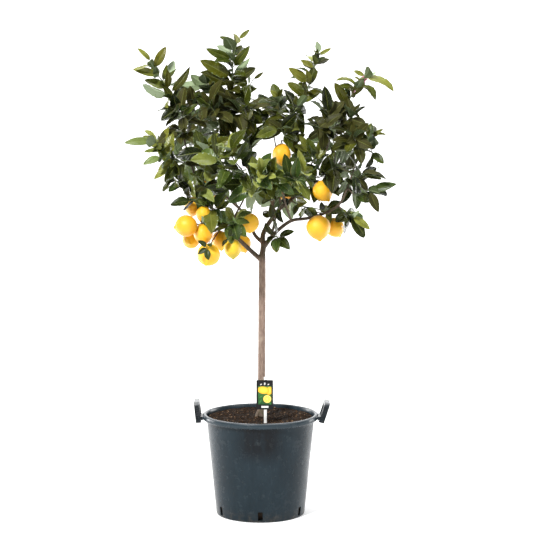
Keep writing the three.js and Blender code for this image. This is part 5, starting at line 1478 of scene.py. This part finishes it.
def growWood(material):
    sketch = Sketch()
    for run in woodRuns():
        rings, faces = tube(*zip(*run), woodForm["sides"])
        sketch.add(rings, faces)
    rough = sketch.piece("roughWood", [material])
    cells = rough.modifiers.new("fuse", "REMESH")
    cells.mode = "VOXEL"
    cells.voxel_size = woodForm["grain"] * 0.001
    soft = rough.modifiers.new("soften", "SMOOTH")
    soft.factor = 0.5
    soft.iterations = woodForm["soften"]
    mesh = shapedMesh(rough)
    bpy.data.objects.remove(rough)
    mesh.name = "grownWood"
    mesh.materials.clear()
    mesh.materials.append(material)
    mesh.shade_smooth()
    piece = bpy.data.objects.new("grown_wood", mesh)
    bpy.context.collection.objects.link(piece)
    count = len(mesh.vertices)
    places = np.zeros(count * 3, np.float32)
    normals = np.zeros(count * 3, np.float32)
    mesh.vertices.foreach_get("co", places)
    mesh.vertex_normals.foreach_get("vector", normals)
    places, normals = places.reshape(-1, 3) * 1000, normals.reshape(-1, 3)
    x, y, z = places.T
    ridges = np.sin(z / 23 + 4 * np.sin(z / 61)) * np.sin(np.arctan2(y, x - 5) * 5 + z / 19) * 0.5
    knots = np.sin(x / 9.1 + 2) * np.sin(y / 8.3) * np.sin(z / 10.7 + 1)
    stout = np.clip((910 - z) / 60, 0.35, 1)
    swell = (ridges + knots * woodForm["knots"]) * stout * woodForm["bark"]
    places = places + normals * swell[:, None]
    mesh.vertices.foreach_set("co", (places * 0.001).astype(np.float32).ravel())
    mesh.update()
    return piece


def barkFinish():
    sheet = Sheet("bark")
    space = sheet.space()
    z = sheet.split(space)[2]
    tall = sheet.scaled(space, (1.0, 1.0, 0.16))
    streak = sheet.noise(tall, 300.0, 5.0, 0.65)
    patch = sheet.noise(space, 26.0, 4.0, 0.6)
    grit = sheet.noise(space, 520.0, 3.0, 0.6)
    young = z.ramp(0.868, 0.905)  # greener up in the crown
    old = sheet.colors(streak, woodForm["old"])
    green = sheet.colors(streak, woodForm["green"])
    color = sheet.blend(young * 0.9, old, green)
    moss = z.ramp(0.395, 0.345) * patch.ramp(0.42, 0.55)
    color = sheet.coats(
        color,
        (patch.ramp(0.55, 0.68) * 0.45 * (1.0 - young), woodForm["pale"]),
        (grit.ramp(0.6, 0.7) * 0.35, woodForm["grit"]),
        (z.ramp(0.42, 0.34) * 0.6, woodForm["foot"]),
        (moss * 0.75, woodForm["moss"]))
    height = streak * 0.9 + grit * 0.35 + patch * 0.5
    return sheet.finish(Base_Color=color, Roughness=patch * 0.15 + 0.68,
                        Normal=sheet.bump(height, 0.0012, 0.9), Specular_IOR_Level=0.35)


wood = growWood(barkFinish())
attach(wood, "root")
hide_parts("wood")
print("wood grown:", len(wood.data.polygons), "faces")


# lemons

lemonForm = {
    # how ripe, and so how yellow and light, a lemon is; lemon_11, lemon_13 and lemon_6 are set
    # lighter as painted light, since they hang in shade
    "ripenessAndPaintedLight": {"lemon_7": 0.85, "lemon_9": 0.8, "lemon_3": 0.5, "lemon_5": 0.45,
                 "lemon_14": 0.75, "lemon_11": 1.0, "lemon_13": 0.85, "lemon_6": 0.8},
    "turning": "lemon_12",  # still green at both ends
    "rows": 40,
    "sides": 36,
    "uneven": 0.022,
    "furrows": 0.05,  # round the neck
    "outline": [(0, -1), (0.07, -0.99), (0.13, -0.955), (0.17, -0.915), (0.26, -0.86),
                (0.48, -0.755), (0.74, -0.57), (0.92, -0.36), (1.01, -0.12), (1.03, 0.06),
                (1.0, 0.26), (0.9, 0.46), (0.74, 0.64), (0.52, 0.79), (0.33, 0.875), (0.19, 0.905),
                (0.0, 0.89)],
    "cup": [(0.5, -1.4), (4.6, -1.6), (6.2, -0.3), (4.4, 0.5), (0.6, 0.3)],  # calyx, millimetres
    "ripe": [(0.1, (0.70, 0.26, 0.004)), (0.45, (0.76, 0.37, 0.005)), (0.9, (0.80, 0.48, 0.008))],
    "ripeEnds": (0.78, 0.50, 0.05),
    "unripe": [(0.1, (0.52, 0.33, 0.01)), (0.45, (0.64, 0.42, 0.012)), (0.9, (0.72, 0.46, 0.015))],
    "unripeEnds": (0.17, 0.23, 0.02),
    "blotch": (0.45, 0.26, 0.05),
    "scar": (0.09, 0.05, 0.015),
    "calyx": [(0.3, (0.05, 0.055, 0.02)), (0.7, (0.16, 0.16, 0.06))],
}


def peelFinish(name, stops, ends, tipReach=0.10):
    sheet = Sheet(name)
    space = sheet.space()
    along = sheet.place()[0]
    chance = sheet.tint()[0]
    cloud = sheet.noise(space, 22.0, 3.0)
    pits = sheet.cells(space, 620.0)
    blotch = sheet.noise(space, 75.0, 4.0, 0.7)
    color = sheet.colors(cloud * 0.7 + chance * 0.5 - 0.1, stops)
    color = sheet.coats(
        color,
        (along.ramp(0.86, 1.0) * 0.5, ends),
        (along.ramp(tipReach, 0.0) * 0.8, ends),
        (pits.ramp(0.5, 0.15) * 0.22, stops[0][1]),
        (blotch.ramp(0.66, 0.74) * 0.4, lemonForm["blotch"]),
        (along.ramp(0.010, 0.004) * 0.95, lemonForm["scar"]))
    height = pits.ramp(0.1, 0.6) * 0.8 + cloud * 0.5
    return sheet.finish(Base_Color=color, Roughness=pits * 0.16 + 0.33,
                        Normal=sheet.bump(height, 0.0007, 0.75), Specular_IOR_Level=0.5,
                        Subsurface_Weight=0.08, Subsurface_Scale=0.004)


def calyxFinish():
    sheet = Sheet("calyx")
    space = sheet.space()
    grain = sheet.noise(space, 500.0, 3.0)
    color = sheet.colors(grain, lemonForm["calyx"])
    return sheet.finish(Base_Color=color, Roughness=grain * 0.2 + 0.6,
                        Normal=sheet.bump(grain, 0.0005))


def drawLemon(row, materials, chance):
    name, _, _, middle, axis, radius, half = row
    middle, axis = np.array(middle, float), unit(np.array(axis, float))
    side = sideOf(axis)
    other = np.cross(side, axis)
    rows, sides = lemonForm["rows"], lemonForm["sides"]
    outline = np.array(lemonForm["outline"])
    path = Branch(np.column_stack([outline, np.zeros(len(outline))]))
    waves = [(chance.randint(2, 4), chance.uniform(0, 6.3), chance.uniform(0, 6.3))
             for _ in range(4)]
    bend = chance.uniform(-0.05, 0.05)
    sketch = Sketch()
    places, flat = [], []
    for i in range(rows):
        share = 0.012 + 0.976 * i / (rows - 1)
        wide, high, _ = path.at(share)
        neck, foot = max(0.0, (high - 0.55) / 0.35), max(0.0, (-high - 0.72) / 0.28)
        for j, turn in enumerate(turns(sides)):
            bump = sum(math.sin(number * turn + phase + 2.5 * high + more)
                       for number, phase, more in waves)
            grow = 1 + lemonForm["uneven"] * bump * (1 - foot) / 2 \
                + lemonForm["furrows"] * neck * math.cos(7 * turn)
            out = max(wide, 0.004) * radius * min(grow, 1.03)
            point = middle - axis * (high * half) + around(side, other, turn) * out
            places.append(point + side * bend * half * (high * high - 0.4) * 0.5)
            flat.append((share, j / sides))
    tone = lemonForm["ripenessAndPaintedLight"].get(name, chance.random())
    faces = [tuple(reversed(face)) for face in ringFaces(rows, sides)]
    sketch.add(places, faces, 0, flat, (tone, 0.5, 0.5))
    stem = middle - axis * half * 0.905
    cup, cupSides = [], 20
    for out, high in lemonForm["cup"]:
        for turn in turns(cupSides):
            lobe = 1 + (0.26 * math.cos(5 * turn) if out > 4 else 0)
            cup.append(stem - axis * (high + 0.4) + around(side, other, turn) * out * lobe)
    sketch.add(cup, ringFaces(len(lemonForm["cup"]), cupSides), 1, None, (0.5, 0.5, 0.5))
    piece = sketch.piece("fruit_" + name[6:], materials)
    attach(piece, "root")
    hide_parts(name)
    return piece


def drawFruit():
    chance = random.Random(5)
    calyx = calyxFinish()
    ripe = peelFinish("ripePeel", lemonForm["ripe"], lemonForm["ripeEnds"])
    turning = peelFinish("turningPeel", lemonForm["unripe"], lemonForm["unripeEnds"], 0.6)
    for row in fruitRows:
        green = row[0] == lemonForm["turning"]
        piece = drawLemon(row, [turning if green else ripe, calyx], chance)


drawFruit()
print("lemons made")


# pot

potForm = {
    "sides": 144,
    "wallOutline": [(0, 0), (60, 0), (120, 0), (148, 0), (150.6, 0.6), (152.6, 2.4), (153.6, 5.4),
                    (158.5, 55), (165, 120), (172, 190), (179, 258), (184.5, 313), (186, 326.5),
                    (187.2, 329.2), (189.5, 330.4), (194, 331), (197.4, 332.2), (199.4, 334.6),
                    (200, 338), (200, 343.5), (199.3, 347), (197.2, 349.3), (194.5, 350),
                    (190.5, 350), (188.2, 349.3), (187, 347.4), (186, 339), (183.4, 317),
                    (176, 248), (168, 174), (160, 100), (152, 25), (150.6, 13), (149, 10.4),
                    (146, 9), (60, 9), (0, 9)],
    "slots": (6, 16, 8, 38),  # count, width, from, to
    "handle": (92, 74, 15, 18),  # width, height, bar, depth
    "bottom": 322,
    "reach": {"left": 213, "right": 209},
    "lean": {"left": 6, "right": 18},
    "pockets": 6,
    "ribs": (-33, -16.5, 0, 16.5, 33),  # under a handle's bracket
    "plastic": [(0.3, (0.006, 0.013, 0.018)), (0.7, (0.013, 0.024, 0.032))],
    "rim": (0.034, 0.048, 0.058),
    "edge": (0.13, 0.14, 0.15),  # painted highlight along the top of the rim
    # painted shade under the rim, at the front
    "paintedShadeUnderRim": (0.002, 0.002, 0.003),
    "dust": (0.07, 0.078, 0.08),
    "scuff": (0.12, 0.13, 0.135),
    "splash": (0.07, 0.055, 0.04),
    "grip": (0.012, 0.015, 0.018),
    "gripTop": (0.20, 0.21, 0.22),
}


def turnedMesh(outline, sides):
    spots = [(out, high, turn) for out, high in outline for turn in turns(sides)]
    places = [(out * math.cos(turn), out * math.sin(turn), high) for out, high, turn in spots]
    return places, wallFaces(len(outline), sides)


def boxAt(sketch, size, middle, turn=Matrix()):
    corners = []
    for i in range(8):
        way = ((i & 1) - 0.5, (i >> 1 & 1) - 0.5, (i >> 2 & 1) - 0.5)
        corner = Vector([share * long for share, long in zip(way, size)])
        corners.append(turn @ (corner + Vector(middle)))
    sketch.add(corners, [(0, 2, 3, 1), (4, 5, 7, 6), (0, 1, 5, 4), (2, 6, 7, 3), (0, 4, 6, 2),
                         (1, 3, 7, 5)])


def cleaned(piece, merge=0.00001):  # welded, with its faces outward
    work = bmesh.new()
    work.from_mesh(piece.data)
    bmesh.ops.remove_doubles(work, verts=work.verts, dist=merge)
    bmesh.ops.recalc_face_normals(work, faces=work.faces)
    work.to_mesh(piece.data)
    work.free()
    return piece


def settled(piece):  # its modifiers made into its mesh
    mesh = shapedMesh(piece)
    piece.modifiers.clear()
    piece.data = mesh
    mesh.shade_smooth()
    mesh.set_sharp_from_angle(angle=math.radians(35))
    return piece


def cut(piece, cutter):
    tool = piece.modifiers.new("cut", "BOOLEAN")
    tool.operation = "DIFFERENCE"
    tool.solver = "EXACT"
    tool.object = cutter
    settled(piece)
    bpy.data.objects.remove(cutter)
    return piece


def bevelled(piece, width):
    tool = piece.modifiers.new("soften", "BEVEL")
    tool.width = width * 0.001
    tool.segments = 2
    tool.limit_method = "ANGLE"
    tool.angle_limit = math.radians(40)
    return settled(piece)


def together(pieces, name):
    first = pieces[0]
    work = bmesh.new()
    for piece in pieces:
        work.from_mesh(piece.data)
    work.to_mesh(first.data)
    work.free()
    for piece in pieces[1:]:
        bpy.data.objects.remove(piece)
    first.name = name
    first.data.name = name
    return first


def roundedBox(width, height, corner, steps=5):  # its outline
    points = []
    for quarter, (cx, cy) in enumerate([(1, -1), (1, 1), (-1, 1), (-1, -1)]):
        for i in range(steps + 1):
            turn = math.radians(-90 + quarter * 90 + 90 * i / steps)
            points.append((cx * (width / 2 - corner) + corner * math.cos(turn),
                           cy * (height / 2 - corner) + corner * math.sin(turn)))
    return points


def frameFaces(count):  # between an outer and an inner outline in front, and the same two behind
    faces = []
    for j in range(count):
        k = (j + 1) % count
        faces += [(j, k, count + k, count + j),
                  (2 * count + k, 2 * count + j, 3 * count + j, 3 * count + k),
                  (j, 2 * count + j, 2 * count + k, k),
                  (count + k, 3 * count + k, 3 * count + j, count + j)]
    return faces


def handleLoop(side, plastic):
    width, height, bar, depth = potForm["handle"]
    way = 1 if side == "right" else -1
    lean = math.radians(potForm["lean"][side])
    reach = potForm["reach"][side]
    place = Matrix.Translation((way * reach, 0, potForm["bottom"])) \
        @ Matrix.Rotation(lean * way, 4, "Y")
    outlines = roundedBox(width, height, 14), roundedBox(width - 2 * bar, height - 2 * bar, 7)
    places = [place @ Vector((x, y, z + height / 2))
              for x in (-depth / 2, depth / 2) for outline in outlines for y, z in outline]
    loop = Sketch()
    loop.add(places, frameFaces(len(outlines[0])))
    loop = cleaned(loop.piece("loop", [plastic]))
    pockets = Sketch()
    number = potForm["pockets"]
    tall = (height - 24) / number
    for near in (-1, 1):
        for i in range(number):
            middle = (0, near * (width / 2), 12 + tall * (i + 0.5))
            boxAt(pockets, (depth - 5, 8, tall - 2.6), middle, place)
    for i in range(5):
        boxAt(pockets, (depth - 6, 8, 5), (0, (i - 2) * 11.6, 3), place)
    cut(loop, cleaned(pockets.piece("pockets", [plastic])))
    bracket = Sketch()
    inside = 196
    middle = way * (reach + inside) / 2
    boxAt(bracket, (reach - inside - 2, 68, 3), (middle, 0, 342.5))
    for y in potForm["ribs"]:
        boxAt(bracket, (reach - inside - 2, 2.2, 9.4), (middle, y, 337.2))
    return together([bevelled(loop, 0.8), cleaned(bracket.piece("bracket", [plastic]))], "loop")


def potFinish():
    sheet = Sheet("potPlastic")
    space = sheet.space()
    x, y, z = sheet.split(space)
    tall = sheet.scaled(space, (1.0, 1.0, 0.10))
    streak = sheet.noise(tall, 60.0, 4.0, 0.6)
    cloud = sheet.noise(space, 9.0, 4.0, 0.6)
    grain = sheet.noise(space, 1400.0, 2.0)
    dust = sheet.noise(space, 34.0, 5.0, 0.7)
    flow = sheet.noise(sheet.scaled(space, (1.0, 1.0, 0.5)), 3.2, 2.0)
    color = sheet.colors(cloud * 0.6 + streak * 0.4, potForm["plastic"])
    rim = z.ramp(0.326, 0.334)
    # painted shade just under the rim, at the front of the wall
    paintedShadeUnderRim = z.ramp(0.19, 0.27) * abs(x).ramp(0.10, 0.03) * y.ramp(-0.06, -0.12) \
        * (cloud * 0.6 + streak * 0.6).ramp(0.3, 0.6)
    scuff = sheet.cells(sheet.scaled(space, (1.0, 1.0, 0.12)), 85.0).ramp(0.10, 0.03) \
        * cloud.ramp(0.5, 0.6)
    splash = z.ramp(0.045, 0.0) * dust.ramp(0.4, 0.6)
    color = sheet.coats(
        color,
        (rim * 0.6, potForm["rim"]),
        # painted highlight on the top of the rim
        (z.ramp(0.345, 0.3495) * 0.5, potForm["edge"]),
        (paintedShadeUnderRim * (1.0 - rim) * 0.85, potForm["paintedShadeUnderRim"]),
        (dust.ramp(0.55, 0.72) * 0.22, potForm["dust"]),
        (scuff * 0.4, potForm["scuff"]),
        (splash * 0.4, potForm["splash"]),
        (abs(x).ramp(0.2, 0.2015) * 0.85, potForm["grip"]),  # outside the rim
        (z.ramp(0.384, 0.392) * 0.8, potForm["gripTop"]))
    rough = cloud * 0.12 + streak * 0.10 + dust.ramp(0.5, 0.75) * 0.14 + 0.14
    height = grain * 0.3 + streak * 0.35 + flow * 1.2
    return sheet.finish(Base_Color=color, Roughness=rough, Normal=sheet.bump(height, 0.0008, 0.5),
                        Specular_IOR_Level=0.15)


def makePot():
    plastic = potFinish()
    sketch = Sketch()
    sketch.add(*turnedMesh(potForm["wallOutline"], potForm["sides"]))
    wall = cleaned(sketch.piece("wall", [plastic]), 0.00005)
    count, wide, low, high = potForm["slots"]
    cutters = Sketch()
    for i in range(count):
        turn = Matrix.Rotation(math.radians(-90 + i * 360 / count), 4, "Z")
        boxAt(cutters, (40, wide, high - low), (160, 0, (low + high) / 2), turn)
    cut(wall, cleaned(cutters.piece("slots", [plastic])))
    pot = together([wall, handleLoop("left", plastic), handleLoop("right", plastic)], "nursery_pot")
    pot.data.shade_smooth()
    pot.data.set_sharp_from_angle(angle=math.radians(38))
    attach(pot, "root")
    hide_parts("pot")


makePot()
print("pot made")


# soil: a bumpy bed of peat, with bark chips on it

soilForm = {
    "crown": 340.5,  # height in the middle, and at the edge
    "edge": 337.5,
    "out": (180.4, 181),  # how far the bed reaches, and where it has its edge's height
    "wall": (149.7, 12, 0.1022),  # radius, its height, and how the wall leans
    "under": (250, 140, 30, 9.5),  # heights of the rings under the bed
    "rings": 56,
    "sides": 150,
    "lumps": 2.4,
    "lumpSizes": ((0.03, 1.0), (0.08, 0.6), (0.21, 0.35)),
    "chips": 2300,
    "chipsOut": (178, 180),  # how far their middles and their ends may reach
    "long": (3.5, 13),
    "light": 0.10,  # share of pale chips
    "peat": [(0.1, (0.006, 0.004, 0.002)), (0.5, (0.017, 0.010, 0.006)),
             (0.9, (0.045, 0.026, 0.014))],
    "bark": [(0.05, (0.008, 0.005, 0.003)), (0.4, (0.030, 0.016, 0.009)),
             (0.7, (0.11, 0.060, 0.030)), (1.0, (0.36, 0.24, 0.15))],
    "grit": (0.012, 0.007, 0.005),
    "fibre": (0.13, 0.085, 0.05),
}


def soilHeight(x, y):
    out = math.hypot(x, y) / soilForm["out"][1]
    base = mix(soilForm["crown"], soilForm["edge"], min(out, 1) ** 1.3)
    lumps = 0
    for scale, share in soilForm["lumpSizes"]:
        lumps += share * noise.noise(Vector((x * scale + 31.7, y * scale + 12.3, 3 * scale)))
    return base + lumps * soilForm["lumps"]


def soilFinish(name, stops):
    sheet = Sheet(name)
    space = sheet.space()
    tint = sheet.tint()[0]
    clod = sheet.noise(space, 95.0, 6.0, 0.7)
    grit = sheet.cells(space, 330.0)
    fine = sheet.noise(space, 900.0, 3.0, 0.7)
    color = sheet.colors(tint * 0.75 + clod * 0.45 - 0.1, stops)
    color = sheet.coats(color, (fine.ramp(0.56, 0.68) * 0.4, soilForm["fibre"]),
                        (grit.ramp(0.25, 0.0) * 0.5, soilForm["grit"]))
    height = clod + fine * 0.4 - grit * 0.6
    return sheet.finish(Base_Color=color, Roughness=fine * 0.15 + 0.78,
                        Normal=sheet.bump(height, 0.002, 1.0), Specular_IOR_Level=0.12)


def makeSoil():
    rings, sides = soilForm["rings"], soilForm["sides"]
    radius, low, lean = soilForm["wall"]
    places = [(0, 0, soilHeight(0, 0))]
    for i in range(1, rings + 1):
        out = soilForm["out"][0] * (i / rings) ** 0.85
        for turn in turns(sides):
            turn += i * 0.02
            x, y = out * math.cos(turn), out * math.sin(turn)
            places.append((x, y, soilHeight(x, y)))
    for height in soilForm["under"]:
        out = radius + (height - low) * lean - (0 if height > 20 else 7)
        for turn in turns(sides):
            turn += rings * 0.02
            places.append((out * math.cos(turn), out * math.sin(turn), height))
    faces = [(0, 1 + j, 1 + (j + 1) % sides) for j in range(sides)]
    for a, b, c, d in wallFaces(rings + len(soilForm["under"]), sides):
        faces.append((a + 1, d + 1, c + 1, b + 1))
    faces.append(tuple(range(len(places) - 1, len(places) - sides - 1, -1)))
    sketch = Sketch()
    sketch.add(places, faces, 0, None, (0.35, 0.5, 0.5))
    bed = cleaned(sketch.piece("soil_bed", [soilFinish("peat", soilForm["peat"])], 80))
    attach(bed, "root")
    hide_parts("soil")


def makeChips():
    chance = random.Random(23)
    chips = Sketch()
    made = 0
    middles, ends = soilForm["chipsOut"]
    while made < soilForm["chips"]:
        out, turn = middles * math.sqrt(chance.random()), chance.uniform(0, 2 * math.pi)
        x, y = out * math.cos(turn), out * math.sin(turn)
        long = mix(*soilForm["long"], chance.random() ** 2.2)
        if math.hypot(x - 5, y) < 15 + long / 2 or out + long * 0.5 > ends:
            continue  # it would be in the trunk or the wall
        made += 1
        wide = long * chance.uniform(0.35, 0.8)
        thick = chance.uniform(1.0, 2.6)
        count = chance.randint(5, 7)
        turnIt = Matrix.Translation((x, y, soilHeight(x, y) + chance.uniform(-0.4, 1.2))) \
            @ Matrix.Rotation(chance.uniform(0, 6.3), 4, "Z") \
            @ Matrix.Rotation(chance.gauss(0, 0.42), 4, "Y") \
            @ Matrix.Rotation(chance.gauss(0, 0.35), 4, "X")
        reach = [(2 * math.pi * (k + chance.uniform(-0.3, 0.3)) / count, chance.uniform(0.72, 1))
                 for k in range(count)]
        corners = []
        for high, grow in ((-0.5, 0.9), (0.5, 0.8)):
            for angle, far in reach:
                corners.append(turnIt @ Vector((long / 2 * far * grow * math.cos(angle),
                                                wide / 2 * far * grow * math.sin(angle),
                                                high * thick * chance.uniform(0.7, 1.2))))
        pale = chance.random() < soilForm["light"]
        tone = chance.uniform(0.75, 1.0) if pale else chance.triangular(0, 0.72, 0.12)
        chips.add(corners, ringFaces(2, count), 0, None, (tone, 0.5, 0.5))
    piece = chips.piece("bark_chips", [soilFinish("barkChips", soilForm["bark"])], 40)
    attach(piece, "root")


makeSoil()
makeChips()
print("soil made")


# plant label: a card with plain lemons and a slice on green, its strip and its peg

labelForm = {
    "card": (57, 101, 1.4),
    "middle": (15, -121.5, 437),
    "corner": 2.2,
    "hole": 2.9,
    "holeDrop": 11,
    "stake": (10, 2.4, 215, 498, 2),  # width, thickness, from, to, how far to the right
    "peg": (0.8, 2.0, 2.2),  # radii, from its head
    "pegSides": 20,
    "picture": (6.0, 51.0, 17.0, 80.0),  # left, right, low, top, millimetres on the card
    "box": (17.0, 41.0, 5.5, 12.0),
    "leaves": [(16, 44, 13, 4.5, 0.5), (46, 22, 10, 4.0, -0.7), (14, 28, 12, 4.4, 1.0)],
    "lemons": [(44, 64, 11.0, 14.0, -0.3), (24, 66, 20.0, 12.5, -0.15)],  # middle, half sizes, turn
    "slice": (37, 36, 13.5),
    "marks": (16, 28.5, 41),
    "black": ((0.006, 0.006, 0.007), (0.014, 0.014, 0.014)),
    "ground": [(0.15, (0.010, 0.06, 0.016)), (0.75, (0.05, 0.17, 0.04))],
    "leaf": ((0.06, 0.22, 0.05), (0.012, 0.07, 0.015)),  # in the middle and at the edge
    "lemon": ((0.93, 0.60, 0.06), (0.76, 0.36, 0.02)),
    "peel": (0.86, 0.55, 0.02),
    "pith": (0.90, 0.74, 0.34),
    "pulp": (0.90, 0.56, 0.05),
    "white": (0.80, 0.80, 0.78),
    "mark": (0.75, 0.74, 0.70),
    "strip": ((0.83, 0.82, 0.79), (0.70, 0.68, 0.62)),
    "soiled": (0.24, 0.17, 0.10),
}


def printFinish():
    sheet = Sheet("labelPrint")
    across, high = sheet.place()
    space = sheet.space()
    mottle = sheet.noise(space, 160.0, 3.0)
    width, height, _ = labelForm["card"]
    x, y = across * width, high * height

    def disc(cx, cy, wide, tall, soft=0.5, turn=0.0):
        dx, dy = x - cx, y - cy
        along = dx * math.cos(turn) + dy * math.sin(turn)
        aside = dy * math.cos(turn) - dx * math.sin(turn)
        far = ((along / wide) ** 2.0 + (aside / tall) ** 2.0) ** 0.5
        return far.ramp(1.0 + soft / tall, 1.0 - soft / tall), far

    def panel(left, right, low, top, soft=0.3):
        return x.ramp(left - soft, left + soft) * x.ramp(right + soft, right - soft) \
            * y.ramp(low - soft, low + soft) * y.ramp(top + soft, top - soft)

    color = sheet.blend(mottle * 0.3, *labelForm["black"])
    ground = sheet.colors(high + (mottle - 0.5) * 0.3, labelForm["ground"])
    inside = panel(*labelForm["picture"])
    color = sheet.blend(inside, color, ground)
    for cx, cy, wide, tall, turn in labelForm["leaves"]:
        leaf, far = disc(cx, cy, wide, tall, 0.5, turn)
        color = sheet.blend(leaf * inside, color, sheet.blend(far, *labelForm["leaf"]))
    for cx, cy, wide, tall, turn in labelForm["lemons"]:
        lemon, far = disc(cx, cy, wide, tall, 0.5, turn)
        color = sheet.blend(lemon * inside, color, sheet.blend(far ** 2.0, *labelForm["lemon"]))
    cx, cy, half = labelForm["slice"]
    whole, far = disc(cx, cy, half, half)
    turn = sheet.node("ShaderNodeMath", {"operation": "ARCTAN2"}, {0: y - cy, 1: x - cx})
    wedge = abs((turn * (8 / (2 * math.pi))).fraction() - 0.5) * 2.0 * far
    pulp = far.ramp(0.84, 0.80) * (wedge - (far * 0.95)).ramp(0.0, -0.10)
    marks = [disc(cx, 86, 3.4, 1.6, 0.4, 0.5)[0] for cx in labelForm["marks"]]
    color = sheet.coats(
        color,
        (whole * inside, labelForm["peel"]),
        (far.ramp(0.93, 0.90) * inside, labelForm["pith"]),
        (pulp * inside, labelForm["pulp"]),
        (panel(*labelForm["box"]), labelForm["white"]),
        *[(mark, labelForm["mark"]) for mark in marks])
    scratch = sheet.noise(sheet.scaled(space, (1.0, 1.0, 6.0)), 120.0, 3.0)
    return sheet.finish(Base_Color=color, Roughness=scratch * 0.15 + 0.28,
                        Normal=sheet.bump(scratch, 0.0002, 0.3), Specular_IOR_Level=0.2)


def whitePlasticFinish():
    sheet = Sheet("whitePlastic")
    space = sheet.space()
    cloud = sheet.noise(space, 70.0, 4.0, 0.6)
    grain = sheet.noise(space, 700.0, 2.0)
    z = sheet.split(space)[2]
    color = sheet.blend(cloud.ramp(0.4, 0.7) * 0.5, *labelForm["strip"])
    low = z.ramp(0.345, 0.325) * cloud.ramp(0.3, 0.6)
    color = sheet.blend(low * 0.8, color, labelForm["soiled"])
    return sheet.finish(Base_Color=color, Roughness=cloud * 0.15 + 0.38,
                        Normal=sheet.bump(grain, 0.0002, 0.4))


def makeLabel():
    width, height, thick = labelForm["card"]
    mx, my, mz = labelForm["middle"]
    outer = roundedBox(width, height, labelForm["corner"])
    count = len(outer)
    radius, drop = labelForm["hole"], labelForm["holeDrop"]
    hole = []
    for i in range(count):
        turn = 2 * math.pi * (i + 3 + count / 4 * 3) / count
        hole.append((radius * math.cos(turn), height / 2 - drop + radius * math.sin(turn)))
    places, flat = [], []
    for y in (-thick / 2, thick / 2):
        for px, pz in outer + hole:
            places.append((mx + px, my + y, mz + pz))
            flat.append((px / width + 0.5, pz / height + 0.5) if y < 0 else (0.02, 0.02))
    card = Sketch()
    card.add(places, frameFaces(count), 0, flat)
    card = cleaned(card.piece("plant_label", [printFinish()], 30))
    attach(card, "root")
    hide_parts("label_card")
    wide, deep, low, top, right = labelForm["stake"]
    y = my + thick / 2 + placing["gap"] + deep / 2
    strip = Sketch()
    boxAt(strip, (wide, deep, top - low), (mx + right, y, (top + low) / 2))
    strip = bevelled(cleaned(strip.piece("strip", [whitePlasticFinish()])), 0.5)
    peg = Sketch()
    high = mz + height / 2 - drop
    front = y - deep / 2 - thick - placing["gap"] - 1.6
    tip, head, neck = labelForm["peg"]
    rings = [(front - 0.2, tip), (front, head), (front + 1.0, neck), (y, neck)]
    places = [(mx + out * math.cos(turn), at, high + out * math.sin(turn))
              for at, out in rings for turn in turns(labelForm["pegSides"])]
    peg.add(places, ringFaces(len(rings), labelForm["pegSides"]))
    stake = together([strip, cleaned(peg.piece("peg", [strip.data.materials[0]]))], "label_strip")
    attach(stake, "root")
    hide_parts("label_stake")


makeLabel()
print("label made")


# stage: a pale floor that curves up behind, and soft light

stageForm = {
    "floor": 0.86,
    "glow": (0.33, 1.0),  # light that the floor gives off at the object, and far behind it
    "turnUp": 7.0,  # where the floor turns up into the backdrop, metres behind the object
    "world": 0.05,
    "aim": (0, 0, 0.95),  # what the lights point at
    "key": (-2.0, -3.6, 4.4, 0.8, 445),  # x, y, z, size, watts
    "fill": (3.4, -2.8, 2.4, 2.0, 75),
    "top": (0.2, 0.4, 4.6, 2.4, 110),
    "back": (0.0, 3.0, 2.6, 3.4, 40),
    "left": (-2.4, 1.6, 0.5, 1.2, 85),
    "right": (2.4, 1.6, 0.5, 1.2, 60),
}


def makeStage():
    sheet = Sheet("paleFloor")
    speck = sheet.noise(sheet.space(), 6.0, 2.0)
    level = stageForm["floor"]
    color = sheet.blend(speck * 0.1, (level, level, level), (level - 0.02,) * 3)
    glow = sheet.split(sheet.space())[1].ramp(1.2, 3.6, *stageForm["glow"])
    white = sheet.finish(Base_Color=color, Roughness=0.9, Specular_IOR_Level=0.1,
                         Emission_Color=glow, Emission_Strength=1.0)
    sweep = Sketch()
    start = stageForm["turnUp"]
    bend = [math.pi / 2 * i / 12 for i in range(1, 13)]
    section = [(-9, 0), (start, 0)]
    section += [(start + 2 * math.sin(turn), 2 - 2 * math.cos(turn)) for turn in bend]
    section.append((start + 2, 8))
    places = [(x * 1000, y * 1000, z * 1000) for y, z in section for x in (-9, 9)]
    faces = [(2 * i, 2 * i + 1, 2 * i + 3, 2 * i + 2) for i in range(len(section) - 1)]
    sweep.add(places, faces)
    sweep.piece("paleSweep", [white], 80)
    world = bpy.data.worlds.new("softLight")
    bpy.context.scene.world = world
    world.use_nodes = True
    background = world.node_tree.nodes["Background"]
    background.inputs[0].default_value = (1, 1, 1, 1)
    background.inputs[1].default_value = stageForm["world"]
    for name in ("key", "fill", "top", "back", "left", "right"):
        x, y, z, size, power = stageForm[name]
        data = bpy.data.lights.new(name + "Light", "AREA")
        data.size = size
        data.energy = power
        lamp = bpy.data.objects.new(name + "Light", data)
        lamp.location = (x, y, z)
        way = Vector(stageForm["aim"]) - lamp.location
        lamp.rotation_euler = way.to_track_quat("-Z", "Y").to_euler()
        bpy.context.collection.objects.link(lamp)


makeStage()
bpy.context.scene.view_settings.view_transform = "Standard"
print("stage lit")
